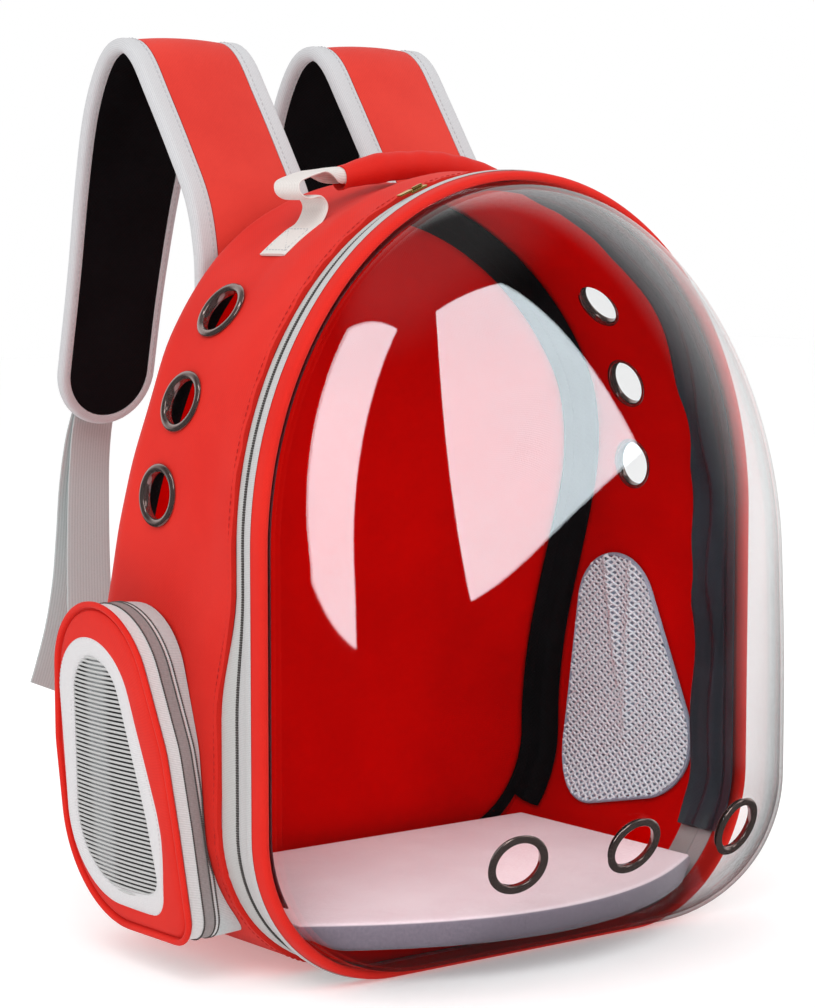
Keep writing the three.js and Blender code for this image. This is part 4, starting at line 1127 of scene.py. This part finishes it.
def wallNetPaths(edge, centre, side):
    turn = np.arctan2(*(edge - centre).T[::-1])
    order = np.argsort(turn)
    far = np.hypot(*(edge - centre).T)
    ts = np.arange(-wallNet["half"], wallNet["half"], wallNet["step"])
    paths = []
    for hand in (-1, 1):
        ray = np.array([math.cos(wallNet["slant"]), hand * math.sin(wallNet["slant"])])
        across = np.array([-ray[1], ray[0]])
        for offset in np.arange(-wallNet["span"], wallNet["span"], wallNet["pitch"]):
            spots = centre + across * offset + ts[:, None] * ray
            polar = np.arctan2(*(spots - centre).T[::-1])
            reach = np.interp(polar, turn[order], far[order], period=fullTurn)
            keep = np.hypot(*(spots - centre).T) < reach
            if keep.sum() < wallNet["fewest"]:
                continue
            spots, wave = spots[keep], np.sin(ts[keep] * math.pi / wallNet["pitch"])
            depth = wallNet["inset"] + hand * wallNet["wave"] * wave + netFold(*spots.T)
            paths.append((onWall(spots, side, depth), False))
    return paths


for word, side in sides:
    edge = hullLoop(wallWindow, wallNet["grow"], wallNet["edgeSteps"])
    centre = edge.mean(axis=0)
    net = growPiece(f"wallNet_{word}", strandNet, wallNetPaths(edge, centre, side), "white_net", f"wall_mesh_{word}",
                    Radius=wallNet["radius"], Sides=5, Material=netWhite)
    welt = [onWall(hullLoop(wallWindow, grow, wallNet["weltSteps"]), side, inset) for grow, inset in wallNet["welt"]]
    border = gridPiece(f"wallNetBorder_{word}", welt, wallBack, "grey_webbing", f"wall_mesh_border_{word}", ring=True)
    edge = hullLoop(wallWindow, wallNet["backGrow"], wallNet["weltSteps"])
    loops = [centre + (edge - centre) * share for share in wallNet["backRings"]]
    layer = [onWall(loop, side, wallNet["backInset"] + netFold(*loop.T)) for loop in loops]
    layer += [rows + (side * wallNet["backThick"], 0, 0) for rows in layer[::-1]]
    sheet = newObject(f"wallNetBack_{word}", gridMesh(f"wallNetBack_{word}", layer))
    place(sheet, wallBack, "white_net")
print("wall nets made")

# Shoulder straps
strap = {
    "endSeams": (7.0, 13.0), "width": 66.0, "edge": 10.0, "liningEdge": 6.0, "inner": -3.2, "outer": 4.2,
    "padLow": 1.2, "liningHigh": -0.9, "liningCrown": 0.8, "proud": 0.5, "crown": 1.6, "round": 3.0, "lip": 1.2,
    "steps": 110, "tipSteps": 26, "endSteps": 12, "acrossSteps": 17, "pathSteps": 600,
    "flare": 0.25, "flareFrom": 0.35, "flareTo": 0.85,
    "route": ((68, 145, 350), (68, 146, 376), (67, 155, 404), (66, 174, 432), (66, 196, 463), (66, 213, 485),
              (66, 229, 492), (66, 247, 484), (66, 266, 456), (66, 281, 414), (66, 294, 364), (66, 305, 318),
              (66, 315, 272)),
    "seamFrom": 4.0, "seamSteps": 160, "seamLift": 0.1, "padSeam": 2.2, "liningSeam": 2.0, "endSeamSteps": 40,
}


class StrapPath:
    def __init__(self, side):
        self.path, self.length = smoothPath(np.array(strap["route"], float) * (side, 1, 1), strap["pathSteps"])
        self.tangents = tangentsOf(self.path)
        self.straight = self.length - strap["width"] / 2

    def at(self, along, across, lift):
        index = np.clip(along / self.length, 0, 1) * (len(self.path) - 1)
        ids = np.arange(len(self.path))
        spot, tangent = (np.array([np.interp(index, ids, row) for row in rows.T])
                         for rows in (self.path, self.tangents))
        up = np.array([0, -tangent[2], tangent[1]])
        flare = 1 + strap["flare"] * (1 - float(smoothStep(along / self.length, strap["flareFrom"], strap["flareTo"])))
        return spot + up / np.linalg.norm(up) * lift + (across * flare, 0, 0)


def strapBody(path, low, high, crownLow, crownHigh, edge):
    half = strap["width"] / 2 - edge - shell["gap"]
    shares = np.linspace(-1, 1, strap["acrossSteps"])
    cuts = [(a, half) for a in np.linspace(0, path.straight, strap["steps"])]
    cuts += [(path.straight + half * math.sin(t), half * math.cos(t))
             for t in np.linspace(0, quarterTurn, strap["endSteps"])[1:-1]]
    rows = []
    for along, w in cuts:
        top = [path.at(along, w * s, high + crownHigh * (1 - s * s) * w / half) for s in shares]
        under = [path.at(along, w * s, low - crownLow * (1 - s * s) * w / half) for s in -shares]
        rows.append(top + under)
    return np.array(rows)


def strapEdge(path):
    outer, inner = strap["width"] / 2, strap["width"] / 2 - strap["edge"]
    stops = [(a, 0.0) for a in np.linspace(0, path.straight, strap["steps"], endpoint=False)]
    stops += [(path.straight, t) for t in np.linspace(0, math.pi, strap["tipSteps"])]
    stops += [(a, math.pi) for a in np.linspace(path.straight, 0, strap["steps"], endpoint=False)[1:]]
    stops.append((0.0, math.pi))
    low, high = strap["inner"] - strap["proud"], strap["outer"] + strap["proud"]
    middle, half, corner, lip = (low + high) / 2, (high - low) / 2, strap["round"], strap["lip"]
    under = outer - strap["liningEdge"]
    profile = [(inner, high - 0.5), (inner + lip, high)]
    profile += [(outer - corner + corner * math.cos(t), middle + half * math.sin(t))
                for t in np.linspace(quarterTurn, -quarterTurn, 11)]
    profile += [(under + lip, low), (under, low + 0.5), (under, middle - 1.0), (inner, middle + 1.0)]
    return np.array([[path.at(along + r * math.sin(turn), -r * math.cos(turn), h) for r, h in profile]
                     for along, turn in stops])


def strapSeams(path):
    half, lift = strap["width"] / 2, strap["proud"] + strap["seamLift"]
    rows = ((strap["outer"] + lift, strap["edge"] - strap["padSeam"]),
            (strap["inner"] - lift, strap["liningEdge"] - strap["liningSeam"]))
    along = np.linspace(strap["seamFrom"], path.straight, strap["seamSteps"])
    seams = [np.array([path.at(a, hand * (half - inward), high) for a in along])
             for hand in (-1, 1) for high, inward in rows]
    across = np.linspace(-1, 1, strap["endSeamSteps"]) * (half - strap["liningEdge"])
    for a in strap["endSeams"]:  # two rows hold the end to the back panel
        seams.append(np.array([path.at(a, w, strap["inner"] - lift) for w in across]))
    return [(seam, False) for seam in seams]


webbing = {
    "width": 28.0, "thick": 1.6, "routeSteps": 90, "tailSteps": 60, "section": 24, "squareness": 0.3,
    "route": ((66, 320.6, 285), (67, 325.5, 262), (71, 322, 234), (85, 300, 196), (107, 263, 155), (128, 228, 118),
              (140, 200, 90), (132, 182, 67), (110, 179, 55)),
    "tail": ((66, 323.4, 283), (69, 328.6, 262), (74, 328, 234), (80, 322, 205), (87, 315, 178), (95, 311, 150),
             (104, 309, 125), (108, 308.5, 115)),
}
ladderLock = {"weld": 1e-6, "flat": 0.02, "bevel": 0.0011}


def webbingMesh(part, side):
    path, _ = smoothPath(np.array(webbing[part], float) * (side, 1, 1), webbing[part + "Steps"])
    w, h = flatOval(webbing["width"], webbing["thick"], webbing["section"], webbing["squareness"])
    across = np.array([1.0, 0.0, 0.0])
    rows = []
    for spot, tangent in zip(path, tangentsOf(path)):
        wide = across - tangent * np.dot(across, tangent)
        wide /= np.linalg.norm(wide)
        rows.append(spot + w[:, None] * wide + h[:, None] * np.cross(tangent, wide))
    return measuredMesh(part, rows)


def softenedLock(word):
    mesh = frame["nodes"][f"ladder_lock_{word}"].data.copy()
    made = bmesh.new()
    made.from_mesh(mesh)
    bmesh.ops.remove_doubles(made, verts=made.verts[:], dist=ladderLock["weld"])
    bmesh.ops.dissolve_limit(made, angle_limit=ladderLock["flat"], verts=made.verts[:], edges=made.edges[:])
    bmesh.ops.bevel(made, geom=made.edges[:], offset=ladderLock["bevel"], segments=3, profile=0.5, affect="EDGES")
    made.to_mesh(mesh)
    made.free()
    return mesh


for word, side in sides:
    path = StrapPath(side)
    rows = strapBody(path, strap["padLow"], strap["outer"], 0.0, strap["crown"], strap["edge"])
    piece = gridPiece(f"strapPad_{word}", rows, strapRed, "red_cloth", f"strap_pad_{word}", sharp=50)
    rows = strapBody(path, strap["inner"], strap["liningHigh"], strap["liningCrown"], 0.0, strap["liningEdge"])
    piece = gridPiece(f"strapLining_{word}", rows, blackCloth, "black_cloth", f"strap_lining_{word}", sharp=50)
    gridPiece(f"strapBinding_{word}", strapEdge(path), greyBinding, "grey_binding", f"strap_binding_{word}",
              along=4, sharp=55)
    stitchRow(f"strapStitch_{word}", strapSeams(path), threadGrey, "grey_binding", pitch=3.4, length=2.5, radius=0.3)
    mesh = joinMeshes(f"strapWebbing_{word}", [webbingMesh(part, side) for part in ("route", "tail")])
    place(newObject(f"strapWebbing_{word}", mesh), greyWebbing, "grey_webbing", f"strap_webbing_{word}", sharp=60)
    lock = newObject(f"ladderLock_{word}", softenedLock(word))
    place(lock, buckleBlack, "black_buckle", f"ladder_lock_{word}", sharp=35)
print("straps made")

# Carry handle
handle = {"half": 53.0, "y": 75.0, "rise": 416.5, "radius": 8.5, "flat": 0.93, "sag": 7.5, "sleeve": 4.0,
          "steps": 71, "section": 40, "seamAt": 4.2, "seamWide": 0.14, "seamHigh": 0.07, "hollow": 0.74,
          "taper": 0.14, "taperFrom": 0.55, "lean": (-7.0, 4.0, 0.0),
          "webWidth": 23.0, "webThick": 1.6, "webSection": 48, "webSteps": 130, "squareness": 0.5,
          "clear": 2.4, "curl": 5.4, "curlReach": 22.0, "curlEnd": 3.0, "sewn": (107.0, 98.0, 90.0, 83.0),
          "fold": ((79, 401), (83, 406.5), (91, 405.5), (95.5, 408.5), (93.5, 413.8), (84, 417), (70, 420.2),
                   (59, 421.5), (50.5, 422.0)),
          "box": ((105, -9), (105, 9), (90, 9), (90, -9), (105, -9), (90, 9)), "boxSteps": 8, "boxLift": 1.0}


def gripRing(x, radius):
    s = x / handle["half"]
    t = np.linspace(0, fullTurn, handle["section"], endpoint=False)
    seam = 1 + handle["seamHigh"] * np.exp(-((t - handle["seamAt"]) / handle["seamWide"]) ** 2)
    sway = 1 + 0.03 * math.sin(s * 9) + 0.02 * math.sin(s * 23 + 1)
    reach = radius * seam * sway
    middle = handle["rise"] + handle["sag"] * (1 - s * s)
    return stackXyz(x, handle["y"] + reach * np.cos(t), middle + reach * handle["flat"] * np.sin(t)) + handle["lean"]


def gripGrid():
    end, radius = handle["half"], handle["radius"]
    inner = radius * handle["hollow"]
    body = [gripRing(s * end, radius * (1 - handle["taper"] * float(smoothStep(abs(s), handle["taperFrom"], 1.0))))
            for s in np.linspace(-1, 1, handle["steps"])]
    sleeve = ((handle["sleeve"], inner), (0.5, inner), (-0.2, inner + 0.4))
    first = [gripRing(-end + d, r) for d, r in sleeve]
    last = [gripRing(end - d, r) for d, r in sleeve[::-1]]
    return np.array(first + body + last)


def handleTapeGrid(spots):
    path, _ = smoothPath(spots, handle["webSteps"])
    tangents = tangentsOf(path)
    run = runOf(path, False)
    w, h = flatOval(handle["webWidth"], handle["webThick"], handle["webSection"], handle["squareness"])
    wide = np.array([0.0, 1.0, 0.0])
    hand = math.copysign(1, np.cross(tangents[-1], wide)[2])  # the face that is up at the grip
    rows = []
    for spot, tangent, at in zip(path, tangents, run):
        normal = hand * np.cross(tangent, wide)
        curled = float(smoothStep(at, run[-1] - handle["curlReach"], run[-1] - handle["curlEnd"]))
        bend = curled / handle["curl"] + 1e-5
        out = 1 / bend + h
        lift = out * np.cos(w * bend) - 1 / bend
        rows.append(spot + (out * np.sin(w * bend))[:, None] * wide + lift[:, None] * normal)
    return np.array(rows)


def overTop(x, clear):
    return float(archZ(x) - topSag(archZ(x)) + clear)


grip = gridPiece("handleGrip", gripGrid(), redCloth, "red_cloth", "handle_grip", around=5, sharp=60)
for word, side in sides:
    sewn = [(x, overTop(x, handle["clear"])) for x in handle["sewn"]]
    spots = np.array([(side * x, handle["y"], z) for x, z in (*sewn, *handle["fold"])])
    pull = smoothStep(np.arange(len(spots)), len(sewn) + 2, len(spots) - 2)
    rows = handleTapeGrid(spots + pull[:, None] * np.array(handle["lean"]))
    gridPiece(f"handleWeb_{word}", rows, handleTape, "grey_webbing", f"handle_web_{word}", sharp=60)
    corners = [(side * x, handle["y"] + y, overTop(x, handle["clear"] + handle["boxLift"])) for x, y in handle["box"]]
    box = [np.linspace(a, b, handle["boxSteps"], endpoint=False) for a, b in zip(corners, corners[1:])]
    stitchRow(f"handleStitch_{word}", [(np.concatenate(box), False)], threadGrey, "grey_webbing",
              pitch=2.8, length=2.1, radius=0.32)
print("handle made")

# Studio: pale floor, plain lights, two bright cards for the bubble, and the camera at the photo's angle
studio = {
    "eye": (-0.9754, -1.2577, 0.3933), "aim": (-0.075, -0.088, 0.2482), "lens": 102.58, "sensor": 36.0,
    "centre": (0.0, -0.15, 0.28), "fill": 0.80,
    "mirrorLow": 0.012, "mirrorHigh": 0.14, "mirrorFrom": 0.7, "mirrorTo": 0.95,
    "backdrop": (0.6, 0.78, 0.0), "backdropFrom": 0.15, "backdropTo": 0.6, "floorLine": (-0.3, 0.05),
    "stripBox": {"azimuth": -68.0, "elevation": 22.0, "shift": (-0.4, 0.12), "top": 1.35, "foot": 1.1, "tall": 2.1,
                 "lean": 0.38, "topTilt": 0.0, "footTilt": 0.0},
    "windowBox": {"azimuth": 18.0, "elevation": 28.0, "shift": (-0.11, 0.17), "top": 0.72, "foot": 1.75, "tall": 1.42,
                  "lean": -0.17, "topTilt": -0.26, "footTilt": 0.5},
    "boxDistance": 1.6, "boxGlow": 5.3, "boxTint": (0.88, 0.98, 1.04, 1.0),
    "floorHalf": 6, "floorPaint": (0.92, 0.92, 0.92, 1.0), "floorGlow": 0.27, "white": (1.0, 1.0, 1.0, 1.0),
}
lights = {  # azimuth, elevation, distance, size, power
    "keyLight": (-62.0, 48.0, 2.2, 1.6, 20.0), "sideLight": (40.0, 40.0, 2.4, 1.6, 9.0),
    "cabinLight": (-44.0, 45.0, 1.3, 0.8, 13.0),
}


def lookAt(obj, target):
    obj.rotation_euler = (Vector(target) - obj.location).to_track_quat("-Z", "Y").to_euler()


def rayAt(azimuth, elevation):
    az, el = math.radians(azimuth), math.radians(elevation)
    return Vector((math.sin(az) * math.cos(el), -math.cos(az) * math.cos(el), math.sin(el)))


def mirrorBox(name):  # a bright card that only shiny things see
    box = studio[name]
    ray = rayAt(box["azimuth"], box["elevation"])
    right = Vector((0, 0, 1)).cross(ray).normalized()
    middle = Vector(studio["centre"]) + studio["boxDistance"] * ray
    spots = []
    for end, hand in ((1, -1), (1, 1), (-1, 1), (-1, -1)):
        wide, tilt = (box["top"], box["topTilt"]) if end > 0 else (box["foot"], box["footTilt"])
        across = box["shift"][0] + (end * box["lean"] + hand * wide) / 2
        high = box["shift"][1] + (end * box["tall"] + hand * tilt) / 2
        spots.append(middle + across * right + high * ray.cross(right))
    mesh = bpy.data.meshes.new(name)
    mesh.from_pydata(spots, [], [(0, 1, 2, 3)])
    glow = Finish(name, Base_Color=(0.0, 0.0, 0.0, 1.0), Emission_Color=studio["boxTint"],
                  Emission_Strength=studio["boxGlow"])
    mesh.materials.append(glow.material)
    card = newObject(name, mesh)
    card.visible_camera = card.visible_diffuse = card.visible_transmission = card.visible_shadow = False
    return card


def softbox(name):
    azimuth, elevation, distance, size, power = lights[name]
    lamp = bpy.data.lights.new(name, "AREA")
    lamp.shape, lamp.size, lamp.size_y, lamp.energy = "RECTANGLE", size, size, power
    box = newObject(name, lamp)
    box.location = Vector(studio["centre"]) + distance * rayAt(azimuth, elevation)
    lookAt(box, studio["centre"])
    return box


camera = newObject("camera", bpy.data.cameras.new("camera"))
camera.location = studio["eye"]
camera.data.lens, camera.data.sensor_width = studio["lens"], studio["sensor"]
lookAt(camera, studio["aim"])
scene.camera = camera

shinyOnly = bpy.data.collections.new("shinyOnly")  # the two bright cards are only mirrored in the bubble
shinyOnly.objects.link(bubblePiece)
for name in ("stripBox", "windowBox"):
    mirrorBox(name).light_linking.receiver_collection = shinyOnly
notShiny = bpy.data.collections.new("notShiny")  # and the plain lights are kept off it
notShiny.objects.link(bubblePiece)
notShiny.collection_objects[0].light_linking.link_state = "EXCLUDE"
for name in ("keyLight", "sideLight"):
    softbox(name).light_linking.receiver_collection = notShiny
paleInside = bpy.data.collections.new("paleInside")
for obj in [padPiece, guardPiece] + [o for o in scene.collection.objects if o.name.startswith("wallNet")]:
    paleInside.objects.link(obj)
softbox("cabinLight").light_linking.receiver_collection = paleInside

floorMesh = bpy.data.meshes.new("studioFloor")
corners = [(x * studio["floorHalf"], y * studio["floorHalf"], 0) for x, y in ((-1, -1), (1, -1), (1, 1), (-1, 1))]
floorMesh.from_pydata(corners, [], [(0, 1, 2, 3)])
floor = newObject("studioFloor", floorMesh)
floorPaint = Finish("floorPaint", Base_Color=studio["floorPaint"], Roughness=0.7, Specular_IOR_Level=0.1,
                    Emission_Color=studio["white"], Emission_Strength=studio["floorGlow"])
floorMesh.materials.append(floorPaint.material)
floor.visible_glossy = False

world = bpy.data.worlds.new("studioWorld")
world.use_nodes = True
scene.world = world
sky = Nodes(world.node_tree)
cameraRay = sky.node("ShaderNodeLightPath", out="Is Camera Ray")
seen = sky.node("ShaderNodeMix", None, {"Factor": cameraRay, "A": studio["fill"], "B": 1.0})
way = sky.coords("Generated")  # shiny things mirror a dark room with a faint ceiling and a bright backdrop
height = sky.part(way, "Z")
ceiling = height.between(*(studio[key] for key in ("mirrorFrom", "mirrorTo", "mirrorLow", "mirrorHigh")))
behind = sky.node("ShaderNodeVectorMath", {"operation": "DOT_PRODUCT"}, {0: way, 1: studio["backdrop"]}, "Value")
backdrop = behind.between(studio["backdropFrom"], studio["backdropTo"])
room = ceiling.most(height.between(*studio["floorLine"]) * backdrop)
shine = sky.node("ShaderNodeMix", None, {"Factor": cameraRay.beside("Is Glossy Ray"), "A": seen, "B": room})
background = sky.tree.nodes["Background"].inputs
background["Color"].default_value = studio["white"]
sky.tree.links.new(shine.socket, background["Strength"])
scene.view_settings.view_transform = "Standard"
print("studio set")
